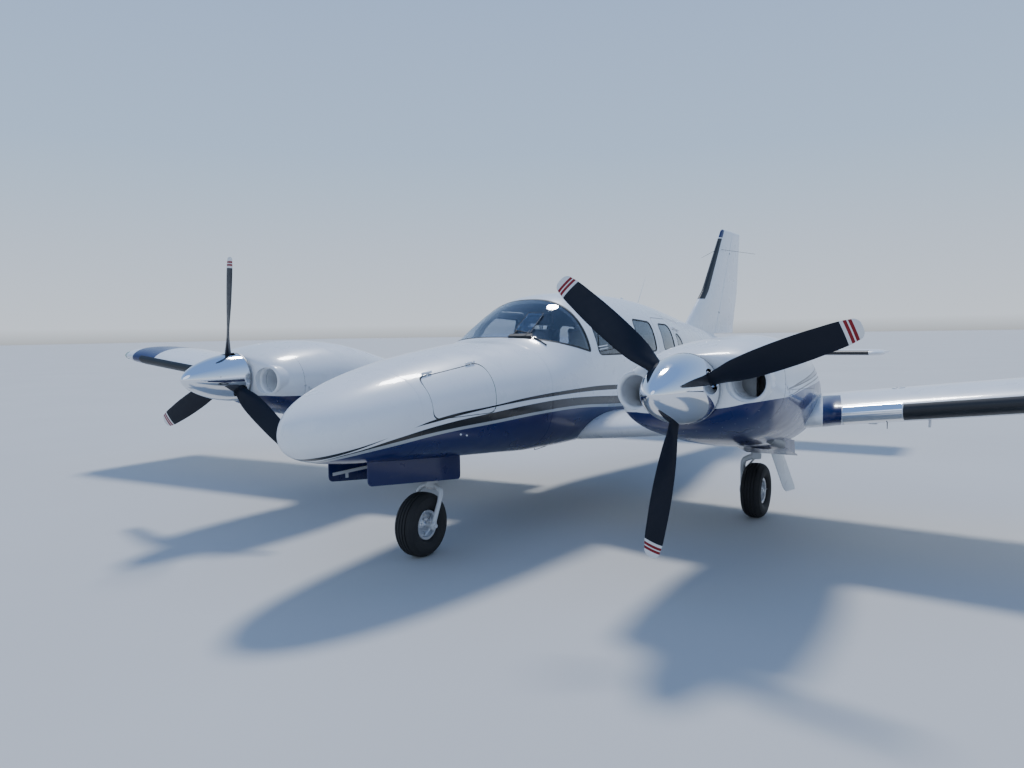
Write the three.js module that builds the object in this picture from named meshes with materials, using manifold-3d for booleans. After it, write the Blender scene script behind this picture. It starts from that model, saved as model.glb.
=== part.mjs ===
// Light twin-engined aircraft with a low wing, standing on its three wheels.
// Millimetres. +X is the aircraft's left, +Y points aft, +Z up.
// The origin is on the ground below the middle of the length and span.
// A station is the distance aft of the nose tip.

import * as THREE from 'three';
import { mergeVertices } from 'three/addons/utils/BufferGeometryUtils.js';
import Module from 'manifold-3d';

const wasm = await Module();
wasm.setup();

// Overall
const LENGTH = 8720;
const NOSE_Y = -LENGTH / 2;
const HALF_SPAN = 5930;
const SEAM = 0.3;
const FINE = 12;
const PLAIN = 10;
const COARSE = 6;
const WALL = 36;
const FLOOR_Z = 800;

// Body joints, as stations
const CONE_END = 680;
const NOSE_END = 1960;
const CABIN_FRONT = 2050;
const CABIN_BACK = 4960;
const CABIN_END = 5060;
const TAIL_END = 8300;

// Body sections: station, half width, top, bottom, height of the widest line, crown power, belly power
const BODY = [
  [0, 30, 985, 925, 955, 2.0, 2.0],
  [30, 112, 1062, 862, 955, 2.0, 2.0],
  [120, 208, 1140, 815, 965, 2.05, 2.1],
  [300, 315, 1220, 775, 990, 2.1, 2.2],
  [CONE_END, 436, 1322, 735, 1035, 2.2, 2.4],
  [1200, 530, 1408, 690, 1070, 2.3, 2.6],
  [1700, 588, 1462, 650, 1090, 2.4, 2.8],
  [2060, 615, 1497, 622, 1100, 2.5, 3.0],
  [2200, 622, 1562, 615, 1105, 2.45, 3.0],
  [2400, 630, 1690, 608, 1110, 2.4, 3.0],
  [2640, 637, 1815, 602, 1115, 2.4, 3.0],
  [2900, 642, 1868, 600, 1120, 2.5, 3.0],
  [3350, 645, 1890, 600, 1125, 2.6, 3.0],
  [3900, 640, 1876, 602, 1125, 2.6, 3.0],
  [4500, 606, 1835, 628, 1125, 2.5, 2.9],
  [5060, 532, 1770, 692, 1130, 2.4, 2.7],
  [5900, 400, 1665, 830, 1160, 2.2, 2.4],
  [6900, 262, 1532, 985, 1205, 2.1, 2.2],
  [7800, 140, 1414, 1108, 1245, 2.0, 2.1],
  [8150, 88, 1380, 1160, 1265, 2.0, 2.0],
  [TAIL_END, 40, 1365, 1235, 1290, 2.0, 2.0],
];

// Wing, stations along the chord; the section is that of the outer panel, stretched ahead of its thickest point
const CHORD = 1600;
const WING_LE = 2500;
const WING_THICK = 0.14;
const WING_CAMBER = 0.02;
const STRETCH_BEHIND = 3140;
const ROOT_X = 650;
const ROOT_LE_Z = 752;
const DIHEDRAL = 0.113;
const INCIDENCE = 0.035;
// Wing ribs: x, leading edge station, share of the full thickness
const WING_RIBS = [
  [380, 2500, 1],
  [900, 2430, 1],
  [1500, 2400, 1],
  [2340, 2400, 1],
  [2440, 2500, 1],
  [5560, 2500, 1],
  [5760, 2525, 0.86],
  [5880, 2600, 0.55],
  [HALF_SPAN, 2760, 0.22],
];
const SURFACE_HINGE = WING_LE + 0.79 * CHORD;
const SURFACE_GAP = 9;
const RUDDER_GAP = 10;
const FLAP_SPAN = [664, 3394];
const AILERON_SPAN = [3418, 5350];
const AILERON_END_GAP = 14;
const FLAP_ARMS = [1120, 2900];
const AILERON_ARMS = [3800, 4950];
const JACK_PAD = { x: 2620, station: 2950, radius: 30, deep: 16 };

// Engines and propellers
const ENGINE_X = 1910;
const PROP_Z = 1215;
const PROP_STATION = 1071;
const PROP_RADIUS = 965;
const SPINNER_TIP = 650;
const SPINNER_BACK = 1150;
const SPINNER_R = 196;
const HUB_R = 88;
const PROP_ANGLES = { left: -0.8656, right: 0.0893 };
const FIREWALL = 2290;
const NACELLE_END = 3650;
const COWL_WALL = 22;
const INLET_X = 325;
const INLET_Z = 1220;
const INLET_R = 92;
const INLET_LIP_R = 120;
// The nacelles stand square to the wing, so their outboard side is the higher one
const NACELLE_CANT = 0.1;
// Nacelle sections about its own centre: station, half width, top, bottom, widest line, crown power, belly power
const NACELLE = [
  [1166, 212, 1395, 1020, 1212, 2.0, 2.0],
  [1185, 335, 1402, 1012, 1195, 2.2, 2.1],
  [1225, 408, 1412, 985, 1190, 2.4, 2.2],
  [1330, 448, 1438, 938, 1185, 2.6, 2.3],
  [1560, 465, 1474, 876, 1175, 2.6, 2.4],
  [1860, 468, 1492, 812, 1165, 2.6, 2.5],
  [FIREWALL, 448, 1456, 742, 1140, 2.5, 2.5],
  [2700, 400, 1355, 700, 1090, 2.4, 2.5],
  [3100, 335, 1235, 700, 1025, 2.3, 2.4],
  [3500, 245, 1085, 752, 935, 2.2, 2.3],
  [NACELLE_END, 190, 1000, 810, 900, 2.1, 2.1],
];

// Tail
// Fin heights: z, leading edge station, trailing edge station, thickness
const FIN = [
  [1360, 6060, 8340, 150],
  [1631, 6435, 8395, 142],
  [2063, 7064, 8562, 122],
  [2870, 7774, 8694, 72],
  [2940, 7836, 8704, 62],
];
const RUDDER_AXIS_LOW = [7373, 1473];
const RUDDER_AXIS_HIGH = [8122, 2673];
const RUDDER_BOTTOM = 1488;
const RUDDER_ARMS = [0.25, 0.95];
const STAB_Z = 1210;
const STAB_LE = 7878;
const STAB_CHORD = 842;
const STAB_HALF_SPAN = 2065;
const STAB_THICK = 0.1;
const STAB_PIVOT = 8100;
const STAB_INNER = 134;
const SLOT_FRONT = 7966;
const SLOT_TOP = 1316;

// Gear
const TYRE_R = 222.5;
const TYRE_HALF = 80;
const RIM_R = 92;
const AXLE_R = 16;
const NOSE_AXLE = 1163;
const NOSE_STEER_TOP = [1430, 790];
const MAIN_AXLE = 3390;
const MAIN_WHEEL_X = 1695;
const WELL_HALF = 160;
const WELL_FRONT = 460;
const WELL_BACK = 1475;
const WELL_TOP = 985;

const SIDES = { left: 1, right: -1 };

const toY = (station) => NOSE_Y + station;

// Smooth value of one column between the rows of a table, without overshoot
function along(rows, column, at) {
  const last = rows.length - 1;
  if (at <= rows[0][0]) return rows[0][column];
  if (at >= rows[last][0]) return rows[last][column];
  let i = 0;
  while (at > rows[i + 1][0]) i += 1;
  const rise = (k) => (rows[k + 1][column] - rows[k][column]) / (rows[k + 1][0] - rows[k][0]);
  const slope = (k) => {
    if (k === 0) return rise(0);
    if (k === last) return rise(last - 1);
    const before = rise(k - 1);
    const after = rise(k);
    return before * after <= 0 ? 0 : (2 * before * after) / (before + after);
  };
  const span = rows[i + 1][0] - rows[i][0];
  const t = (at - rows[i][0]) / span;
  const a = rows[i][column];
  const b = rows[i + 1][column];
  const h = t * t * (3 - 2 * t);
  const start = slope(i) * span * t * (1 - t) * (1 - t);
  const end = -slope(i + 1) * span * t * t * (1 - t);
  return a + (b - a) * h + start + end;
}

// One closed ring of points of a body whose sections are rounded boxes, drawn in by inset and raised by cant towards +X
function sectionRing(table, station, inset, count, centreX = 0, cant = 0) {
  const width = along(table, 1, station) - inset;
  const waist = along(table, 4, station);
  const up = along(table, 2, station) - inset - waist;
  const down = waist - along(table, 3, station) - inset;
  const ring = [];
  for (let i = 0; i < count; i += 1) {
    const angle = (2 * Math.PI * i) / count;
    const power = 2 / along(table, Math.sin(angle) >= 0 ? 5 : 6, station);
    const round = (v) => Math.sign(v) * Math.abs(v) ** power;
    const across = round(Math.cos(angle)) * width;
    const z = waist + round(Math.sin(angle)) * (Math.sin(angle) >= 0 ? up : down);
    ring.push([centreX + across, toY(station), z + cant * across]);
  }
  return ring;
}

// Half width of the body's outside at a station and height
function sideAt(table, station, z) {
  const waist = along(table, 4, station);
  const above = z >= waist;
  const reach = above ? along(table, 2, station) - waist : waist - along(table, 3, station);
  const power = along(table, above ? 5 : 6, station);
  const share = Math.min(1, Math.abs(z - waist) / reach);
  return along(table, 1, station) * (1 - share ** power) ** (1 / power);
}

// Closed solid through rings of equal count, with a fan at each end
function ringSolid(rings) {
  const count = rings[0].length;
  const points = rings.flat();
  const faces = [];
  for (let r = 0; r + 1 < rings.length; r += 1) {
    for (let i = 0; i < count; i += 1) {
      const a = r * count + i;
      const b = r * count + ((i + 1) % count);
      faces.push(a, b, b + count, a, b + count, a + count);
    }
  }
  [rings[0], rings[rings.length - 1]].forEach((ring, end) => {
    const middle = [0, 1, 2].map((k) => ring.reduce((sum, p) => sum + p[k], 0) / count);
    points.push(middle);
    const hub = points.length - 1;
    const base = end * (rings.length - 1) * count;
    for (let i = 0; i < count; i += 1) {
      const a = base + i;
      const b = base + ((i + 1) % count);
      faces.push(...(end === 0 ? [b, a, hub] : [a, b, hub]));
    }
  });
  const solid = solidFrom(new Float32Array(points.flat()), new Uint32Array(faces));
  return solid.volume() >= 0 ? solid : solidFrom(new Float32Array(points.flat()), new Uint32Array(faces).reverse());
}

function solidFrom(vertProperties, triVerts) {
  const mesh = new wasm.Mesh({ numProp: 3, vertProperties, triVerts });
  mesh.merge();
  return new wasm.Manifold(mesh);
}

function fromGeometry(geometry) {
  const bare = geometry.clone();
  bare.deleteAttribute('normal');
  bare.deleteAttribute('uv');
  const merged = mergeVertices(bare, 1e-3);
  return solidFrom(new Float32Array(merged.attributes.position.array), new Uint32Array(merged.index.array));
}

// Straight solid of an outline in the plane of Y and Z, from x0 to x1
function sidePrism(outline, x0, x1) {
  return ringSolid([x0, x1].map((x) => outline.map(([y, z]) => [x, y, z])));
}

function box(x0, x1, s0, s1, z0, z1) {
  const geometry = new THREE.BoxGeometry(x1 - x0, s1 - s0, z1 - z0);
  geometry.translate((x0 + x1) / 2, toY((s0 + s1) / 2), (z0 + z1) / 2);
  return fromGeometry(geometry);
}

// Round bar between two points
function rod(from, to, radius, sides = 16, endRadius = radius) {
  const a = new THREE.Vector3(...from);
  const b = new THREE.Vector3(...to);
  const geometry = new THREE.CylinderGeometry(endRadius, radius, a.distanceTo(b), sides);
  const turn = new THREE.Quaternion().setFromUnitVectors(
    new THREE.Vector3(0, 1, 0),
    b.clone().sub(a).normalize(),
  );
  geometry.applyQuaternion(turn);
  geometry.translate(...a.add(b).multiplyScalar(0.5).toArray());
  return fromGeometry(geometry);
}

// Block centred on a point, its sides along three directions
function slab(centre, directions, sizes) {
  const geometry = new THREE.BoxGeometry(...sizes);
  const basis = new THREE.Matrix4().makeBasis(...directions.map((d) => new THREE.Vector3(...d)));
  geometry.applyMatrix4(basis);
  geometry.translate(...centre);
  return fromGeometry(geometry);
}

// Turned solid about a line along X, or along Y, from a profile of radius and distance
function turned(profile, centre, along3, sides) {
  const points = profile.map(([r, d]) => new THREE.Vector2(r, d));
  const geometry = new THREE.LatheGeometry(points, sides);
  const turn = new THREE.Quaternion().setFromUnitVectors(
    new THREE.Vector3(0, 1, 0),
    new THREE.Vector3(...along3),
  );
  geometry.applyQuaternion(turn);
  geometry.translate(...centre);
  const solid = fromGeometry(geometry);
  if (solid.volume() > 0) return solid;
  const mesh = solid.getMesh();
  return solidFrom(mesh.vertProperties, mesh.triVerts.slice().reverse());
}

// Moves each edge of an outline inwards, given anticlockwise
function drawIn(outline, distance) {
  const count = outline.length;
  return outline.map((point, i) => {
    const before = outline[(i + count - 1) % count];
    const after = outline[(i + 1) % count];
    const unit = (a, b) => {
      const size = Math.hypot(b[0] - a[0], b[1] - a[1]);
      return [(b[0] - a[0]) / size, (b[1] - a[1]) / size];
    };
    const [ux, uy] = unit(before, point);
    const [vx, vy] = unit(point, after);
    const turn = ux * vy - uy * vx;
    const share = Math.abs(turn) < 1e-6 ? 0 : (1 - (ux * vx + uy * vy)) / turn;
    return [point[0] + distance * (-uy + ux * -share), point[1] + distance * (ux + uy * -share)];
  });
}

// Outline of stations and heights, corners rounded, as Y and Z points
function rounded(corners, radius, steps = 1) {
  const count = corners.length;
  const outline = [];
  corners.forEach((corner, i) => {
    const before = new THREE.Vector2(...corners[(i + count - 1) % count]);
    const after = new THREE.Vector2(...corners[(i + 1) % count]);
    const here = new THREE.Vector2(...corner);
    const reach = Math.min(radius, before.distanceTo(here) * 0.45, after.distanceTo(here) * 0.45);
    const start = here.clone().add(before.sub(here).setLength(reach));
    const end = here.clone().add(after.sub(here).setLength(reach));
    const curve = new THREE.QuadraticBezierCurve(start, here, end);
    curve.getPoints(steps).forEach((p) => outline.push([toY(p.x), p.y]));
  });
  return outline;
}

const stationsBetween = (from, to, steps) =>
  Array.from({ length: steps + 1 }, (_, i) => from + ((to - from) * i) / steps);

const BODY_POINTS = 20;

function bodyLoft(stations, inset = 0) {
  return ringSolid(stations.map((s) => sectionRing(BODY, s, inset, BODY_POINTS)));
}

const noseStations = [0, 25, 90, 200, 400, CONE_END];
const frontStations = stationsBetween(CONE_END, NOSE_END, 3);
const cabinStations = [NOSE_END, 2060, 2200, 2400, 2640, 2900, 3350, 3900, 4500, CABIN_END];
const tailStations = [CABIN_END, 5900, 6900, 7800, 8150, TAIL_END];
const allStations = [...noseStations, ...frontStations.slice(1), ...cabinStations.slice(1), ...tailStations.slice(1)];

const bodyOutside = bodyLoft(allStations, -SEAM);
const cabinOutside = bodyLoft(cabinStations);
const cabinWallInside = bodyLoft(cabinStations, WALL);

// Doors and windows, as stations and heights, anticlockwise seen from the left
const WINDSHIELD = [[2060, 1505], [2150, 1478], [2590, 1372], [2612, 1600], [2665, 1900], [2300, 1960], [2040, 1660]];
const WINDOWS = {
  1: [[2705, 1345], [3330, 1335], [3335, 1560], [3290, 1665], [2790, 1690], [2715, 1560]],
  2: [[3500, 1342], [3925, 1342], [3925, 1625], [3540, 1650], [3500, 1600]],
  3: [[4120, 1345], [4490, 1345], [4480, 1560], [4420, 1600], [4120, 1610]],
  4: [[4625, 1340], [4860, 1335], [4830, 1440], [4740, 1500], [4625, 1510]],
};
const DOORS = {
  baggage_door: [[755, 1010], [1310, 1010], [1330, 1345], [755, 1268]],
  front_door: [[2665, 985], [3400, 985], [3400, 1640], [3340, 1725], [2760, 1735], [2680, 1600]],
  rear_door: [[3990, 870], [4545, 880], [4545, 1580], [4480, 1655], [3990, 1665]],
  cargo_door: [[4570, 890], [4925, 930], [4900, 1440], [4780, 1530], [4570, 1560]],
};
const BAY_WALL = 26;
const DOOR_SIDE = { baggage_door: 1, front_door: -1, rear_door: 1, cargo_door: 1 };
const OUTER_REACH = 900;
const DOOR_CORNER = 55;
// Corner radius and edge gap of each door itself; the nose and front doors need more room to swing
const DOOR_LEAF = {
  baggage_door: [85, 10],
  front_door: [85, 10],
  rear_door: [DOOR_CORNER, 8],
  cargo_door: [DOOR_CORNER, 8.5],
};
const PANE_CORNER = 60;
const PANE_DEPTH = 5;
const PANE_THICK = 8;

const doorLeaf = (name) => drawIn(rounded(DOORS[name], DOOR_LEAF[name][0]), DOOR_LEAF[name][1]);
const sideways = (outline, side) =>
  (side > 0 ? sidePrism(outline, 60, OUTER_REACH) : sidePrism(outline, -OUTER_REACH, -60));

const paneLayer = bodyLoft(cabinStations, PANE_DEPTH).subtract(bodyLoft(cabinStations, PANE_DEPTH + PANE_THICK));
const doorLayer = cabinOutside.subtract(cabinWallInside);

const windshieldHole = sidePrism(rounded(WINDSHIELD, 30), -OUTER_REACH, OUTER_REACH);
const windshieldFill = sidePrism(drawIn(rounded(WINDSHIELD, 30), SEAM), -OUTER_REACH, OUTER_REACH);
const windshield = paneLayer.intersect(windshieldFill);

const parts = {};
const material = (color, roughness, metalness = 0, extra = {}) =>
  new THREE.MeshStandardMaterial({ color, roughness, metalness, ...extra });
const white = material('#eef0f2', 0.3);
const blue = material('#152a86', 0.3);
const black = material('#15171c', 0.4);
const glass = material('#5a6672', 0.05, 0, { transparent: true, opacity: 0.35 });
const polished = material('#d9dce0', 0.12, 1);
const dull = material('#8d9298', 0.5, 0.8);
const rubber = material('#17181a', 0.85);
const hide = material('#8c8478', 0.7);
const grey = material('#3a3d42', 0.7);

function keep(name, solid, look) {
  parts[name] = { solid, look };
}

// The biggest of the separate pieces that a cut leaves
function biggest(solid) {
  return solid.decompose().reduce((best, piece) => (piece.volume() > best.volume() ? piece : best));
}

// Hinges of the doors: the two ends of the hinge line as station and height, and where the knuckles sit on it
const DOOR_HINGES = {
  baggage_door: { ends: [[800, 1277], [1290, 1338]], places: [0.1, 0.9], edge: 'top' },
  front_door: { ends: [[2668, 1040], [2668, 1330]], places: [0.1, 0.9], edge: 'front' },
  rear_door: { ends: [[3993, 1000], [3993, 1330]], places: [0.1, 0.9], edge: 'front' },
  cargo_door: { ends: [[4610, 1555], [4770, 1531]], places: [0.1, 0.9], edge: 'top' },
};
const HINGE_PROUD = 14;
const KNUCKLE = 26;
const KNUCKLE_R = 8;
const FOOT_R = 6.5;
const FOOT_SIDE = 24;
const FOOT_DEEP = 26;

// Hinge line outside the skin, with the outward direction and the direction from the line to the door
function hingeLine(name) {
  const { ends, edge } = DOOR_HINGES[name];
  const side = DOOR_SIDE[name];
  const points = ends.map(([station, z]) => {
    const slope = (sideAt(BODY, station, z + 5) - sideAt(BODY, station, z - 5)) / 10;
    const size = Math.hypot(1, slope);
    return {
      base: new THREE.Vector3(side * sideAt(BODY, station, z), toY(station), z),
      out: new THREE.Vector3(side / size, 0, -slope / size),
      toDoor: edge === 'top' ? new THREE.Vector3((-side * slope) / size, 0, -1 / size) : new THREE.Vector3(0, 1, 0),
    };
  });
  return {
    from: points[0].base.clone().addScaledVector(points[0].out, HINGE_PROUD),
    to: points[1].base.clone().addScaledVector(points[1].out, HINGE_PROUD),
    out: points[0].out.clone().add(points[1].out).normalize(),
    toDoor: points[0].toDoor.clone().add(points[1].toDoor).normalize(),
  };
}

// Adds the knuckles of a door's hinges to the door and to its frame
function hang(frame, door, name) {
  const { from, to, out, toDoor } = hingeLine(name);
  const length = from.distanceTo(to);
  const point = (t, shift) => from.clone().lerp(to, t + shift / length);
  let hungDoor = door;
  let hungFrame = frame;
  DOOR_HINGES[name].places.forEach((t) => {
    const foot = (shift, way) => {
      const start = point(t, shift);
      const end = start.clone().addScaledVector(toDoor, way * FOOT_SIDE).addScaledVector(out, -FOOT_DEEP);
      return rod(start.toArray(), end.toArray(), FOOT_R, 6);
    };
    const knuckle = (a, b) => rod(point(t, a).toArray(), point(t, b).toArray(), KNUCKLE_R, COARSE);
    hungDoor = hungDoor.add(knuckle(-KNUCKLE / 2, KNUCKLE / 2)).add(foot(0, 1));
    [-1, 1].forEach((end) => {
      const near = end * (KNUCKLE / 2 + SEAM);
      hungFrame = hungFrame.add(knuckle(near, near + end * KNUCKLE)).add(foot(near + (end * KNUCKLE) / 2, -1));
    });
  });
  return [hungFrame, hungDoor];
}

// Nose
const wellBox = box(-WELL_HALF, WELL_HALF, WELL_FRONT, WELL_BACK, 0, WELL_TOP);
const noseCone = bodyLoft(noseStations.map((s) => (s === CONE_END ? CONE_END - SEAM : s)));
keep('nose_cone', noseCone.subtract(wellBox), white);

const bay = bodyLoft(frontStations, BAY_WALL).intersect(box(-450, 700, 735, 1350, 1020, 1500));
const baggageOpening = sideways(rounded(DOORS.baggage_door, DOOR_CORNER), 1);
const noseLayer = bodyLoft(frontStations).subtract(bodyLoft(frontStations, BAY_WALL));
const baggageDoor = noseLayer.intersect(
  sideways(doorLeaf('baggage_door'), 1),
);
const noseSection = bodyLoft(frontStations).subtract(wellBox).subtract(bay).subtract(
  baggageOpening.intersect(box(0, 700, 700, 1400, 900, 1500)),
);

// Cabin
const cabinRoom = cabinWallInside.intersect(box(-900, 900, CABIN_FRONT, CABIN_BACK, FLOOR_Z, 2200));
let cabinShell = cabinOutside.subtract(cabinRoom).subtract(windshieldHole);
const doorSolids = {};
['front_door', 'rear_door', 'cargo_door'].forEach((name) => {
  const outline = rounded(DOORS[name], DOOR_CORNER);
  cabinShell = cabinShell.subtract(sideways(outline, DOOR_SIDE[name]));
  doorSolids[name] = doorLayer.intersect(sideways(doorLeaf(name), DOOR_SIDE[name]));
});
const paneOf = {};
Object.entries(SIDES).forEach(([sideName, side]) => {
  Object.entries(WINDOWS).forEach(([number, corners]) => {
    const outline = rounded(corners, PANE_CORNER);
    const hole = sideways(outline, side);
    cabinShell = cabinShell.subtract(hole);
    Object.keys(doorSolids).forEach((name) => {
      if (DOOR_SIDE[name] === side) doorSolids[name] = doorSolids[name].subtract(hole);
    });
    paneOf[`window_${sideName}_${number}`] = paneLayer.intersect(sideways(drawIn(outline, SEAM), side));
  });
});


// Wing section at a rib: thickness scaled, front stretched to the rib's leading edge
const AIRFOIL_POINTS = 8;
function airfoil(t, camber) {
  const camberAt = (x) => (x < 0.4 ? (camber / 0.16) * (0.8 * x - x * x) : (camber / 0.36) * (0.2 + 0.8 * x - x * x));
  const halfAt = (x) => 5 * t * (0.2969 * Math.sqrt(x) - 0.126 * x - 0.3516 * x * x + 0.2843 * x ** 3 - 0.1005 * x ** 4);
  const shares = stationsBetween(0, Math.PI, AIRFOIL_POINTS).map((a) => (1 - Math.cos(a)) / 2);
  const upper = shares.map((x) => [x, camberAt(x) + halfAt(x)]).reverse();
  const lower = shares.slice(1).map((x) => [x, camberAt(x) - halfAt(x)]);
  return { ring: [...upper, ...lower], camberAt, halfAt };
}
const wingFoil = airfoil(WING_THICK, WING_CAMBER);
const ribLift = (x) => ROOT_LE_Z + (Math.abs(x) - ROOT_X) * DIHEDRAL;

function wingRib([x, leading, thickness], side, grow = 0) {
  const front = (STRETCH_BEHIND - leading) / (STRETCH_BEHIND - WING_LE);
  return wingFoil.ring.map(([share, height]) => {
    const plain = WING_LE + share * CHORD;
    const station = plain < STRETCH_BEHIND ? STRETCH_BEHIND - (STRETCH_BEHIND - plain) * front : plain;
    const above = Math.sign(height - wingFoil.camberAt(share)) * grow;
    const z = ribLift(x) + height * CHORD * thickness - (plain - WING_LE) * INCIDENCE + above;
    return [side * x, toY(station) - (share < 0.02 ? grow : 0), z];
  });
}

const hingeShare = (SURFACE_HINGE - WING_LE) / CHORD;
const hingeRise = wingFoil.camberAt(hingeShare) * CHORD - (SURFACE_HINGE - WING_LE) * INCIDENCE;
const hingeRadius = wingFoil.halfAt(hingeShare) * CHORD * 0.985;
const hingePoint = (x, side) => [side * x, toY(SURFACE_HINGE), ribLift(x) + hingeRise];

// Solid with a round nose about the hinge line and a square back, between two ribs
function noseAndBack(x0, x1, side, radius, back) {
  const rings = [x0, x1].map((x) => {
    const [px, py, pz] = hingePoint(x, side);
    const nose = stationsBetween(Math.PI / 2, 1.5 * Math.PI, COARSE).map((a) =>
      [px, py + radius * Math.cos(a), pz + radius * Math.sin(a)]);
    return [...nose, [px, py, pz - 190], [px, py + back, pz - 190], [px, py + back, pz + 190], [px, py, pz + 190]];
  });
  return ringSolid(rings);
}

const HINGE_PIN = 5;
const HINGE_FIT = 0.9;
const ARM_HALF = 8;
const ARM_TALL = 24;
const NOTCH_HALF = 15;
const NOTCH_BEHIND = 22;

// Hinge arm on the fixed part and pin on the moving one, at a point of their hinge line
function hingeArm(fixed, moving, point, axis, ahead, reach) {
  const a = new THREE.Vector3(...axis).normalize();
  const f = new THREE.Vector3(...ahead).normalize();
  const up = new THREE.Vector3().crossVectors(a, f);
  const centre = new THREE.Vector3(...point);
  const at = (alongAxis, forward) => centre.clone().addScaledVector(a, alongAxis).addScaledVector(f, forward).toArray();
  const frame = [a.toArray(), f.toArray(), up.toArray()];
  const notch = slab(at(0, (reach - NOTCH_BEHIND) / 2), frame, [NOTCH_HALF * 2, reach + NOTCH_BEHIND, 400]);
  const pin = rod(at(-NOTCH_HALF - 6, 0), at(NOTCH_HALF + 6, 0), HINGE_PIN, COARSE);
  const arm = slab(at(0, (reach + 30) / 2), frame, [ARM_HALF * 2, reach + 30, ARM_TALL])
    .add(rod(at(-ARM_HALF, 0), at(ARM_HALF, 0), ARM_TALL / 2, PLAIN))
    .subtract(rod(at(-NOTCH_HALF, 0), at(NOTCH_HALF, 0), HINGE_PIN + HINGE_FIT, COARSE));
  return [fixed.add(arm), moving.subtract(notch).add(pin)];
}

function wingSide(side) {
  const whole = ringSolid(WING_RIBS.map((rib) => wingRib(rib, side)));
  const axis = [side, 0, DIHEDRAL];
  const solids = { wing: whole.subtract(bodyOutside) };
  solids.grown = ringSolid(WING_RIBS.map((rib) => wingRib(rib, side, 2 * SEAM)));
  solids.wing = solids.wing.subtract(
    noseAndBack(FLAP_SPAN[0] - 300, AILERON_SPAN[1] + AILERON_END_GAP, side, hingeRadius + SURFACE_GAP, 500),
  );
  const padShare = (JACK_PAD.station - WING_LE) / CHORD;
  const padUnder = (wingFoil.camberAt(padShare) - wingFoil.halfAt(padShare)) * CHORD;
  const padZ = ribLift(JACK_PAD.x) + padUnder - (JACK_PAD.station - WING_LE) * INCIDENCE;
  const padAt = (z) => [side * JACK_PAD.x, toY(JACK_PAD.station), z];
  solids.wing = solids.wing.add(rod(padAt(padZ - JACK_PAD.deep), padAt(padZ + 20), JACK_PAD.radius, FINE));
  const flap = noseAndBack(...FLAP_SPAN, side, hingeRadius, 500).intersect(whole);
  const aileron = noseAndBack(...AILERON_SPAN, side, hingeRadius, 500).intersect(whole);
  solids.flap = flap;
  solids.aileron = aileron;
  const reach = hingeRadius + SURFACE_GAP;
  [['flap', FLAP_ARMS], ['aileron', AILERON_ARMS]].forEach(([name, places]) => {
    places.forEach((x) => {
      [solids.wing, solids[name]] = hingeArm(solids.wing, solids[name], hingePoint(x, side), axis, [0, -1, 0], reach);
    });
  });
  return solids;
}

const NACELLE_POINTS = 16;
function nacelleLoft(stations, side, inset = 0) {
  const ring = (s) => sectionRing(NACELLE, s, inset, NACELLE_POINTS, side * ENGINE_X, side * NACELLE_CANT);
  return ringSolid(stations.map(ring));
}
const cowlStations = [1166, 1190, 1225, 1330, 1560, 1860, FIREWALL];
const rearStations = [FIREWALL + SEAM, 2700, 3100, 3500, NACELLE_END];

// Engine as one block on its mount tubes, with the shaft that carries the propeller
const ENGINE = { half: 315, front: 1420, back: 2150, bottom: 1060, top: 1320 };
const SHAFT_R = 34;
const HUB_BACK = 1150;
function engine(side) {
  const x = side * ENGINE_X;
  let block = box(x - ENGINE.half, x + ENGINE.half, ENGINE.front, ENGINE.back, ENGINE.bottom, ENGINE.top);
  block = block.add(rod([x, toY(HUB_BACK + SEAM), PROP_Z], [x, toY(ENGINE.front + 10), PROP_Z], SHAFT_R, 16));
  [[-220, 1090], [220, 1090], [-220, 1280], [220, 1280]].forEach(([dx, z]) => {
    block = block.add(rod([x + dx, toY(ENGINE.back - 10), z], [x + dx, toY(FIREWALL - SEAM), z], 16, 8));
  });
  return block;
}

function cowling(side) {
  const x = side * ENGINE_X;
  let shell = nacelleLoft(cowlStations.map((s) => (s === FIREWALL ? s - SEAM : s)), side);
  const roomStations = [1250, 1330, 1560, 1860, FIREWALL + 10];
  shell = shell.subtract(nacelleLoft(roomStations, side, COWL_WALL));
  shell = shell.subtract(rod([x, toY(1100), PROP_Z], [x, toY(1400), PROP_Z], SHAFT_R + 26, PLAIN));
  [-1, 1].forEach((hand) => {
    const z = INLET_Z + side * hand * NACELLE_CANT * INLET_X;
    const centre = [x + hand * INLET_X, toY(0), z];
    const lip = [[INLET_R - 4, 1240], [INLET_R + 12, 1214], [INLET_LIP_R - 8, 1216], [INLET_LIP_R, 1240],
      [INLET_LIP_R, 1320], [INLET_R - 4, 1320], [INLET_R - 4, 1240]];
    shell = shell.add(turned(lip, centre, [0, 1, 0], FINE));
    const hole = rod([centre[0], toY(1000), z], [centre[0], toY(1345), z], INLET_R, FINE);
    shell = shell.subtract(hole);
  });
  return biggest(shell);
}

// Rear nacelle with its open cowl flap below, and room for the main leg
const WING_LOW = 900;
const COWL_FLAP = { half: 190, front: 2480, back: 3020, frontZ: 745, backZ: 612, thick: 9 };
function rearNacelle(side, wing) {
  const x = side * ENGINE_X;
  const c = COWL_FLAP;
  const outline = [[toY(c.front), c.frontZ], [toY(c.back), c.backZ], [toY(c.back), c.backZ + c.thick],
    [toY(c.front), c.frontZ + c.thick]];
  const plate = sidePrism(outline, x - c.half, x + c.half);
  const legRoom = [side * (MAIN_WHEEL_X - 200), side * (MAIN_WHEEL_X + 60)].sort((a, b) => a - b);
  const body = nacelleLoft(rearStations, side).add(plate).subtract(wing);
  return biggest(body.subtract(box(...legRoom, WHEEL_WELL.front, WHEEL_WELL.back, 400, WING_LOW)));
}

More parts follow.
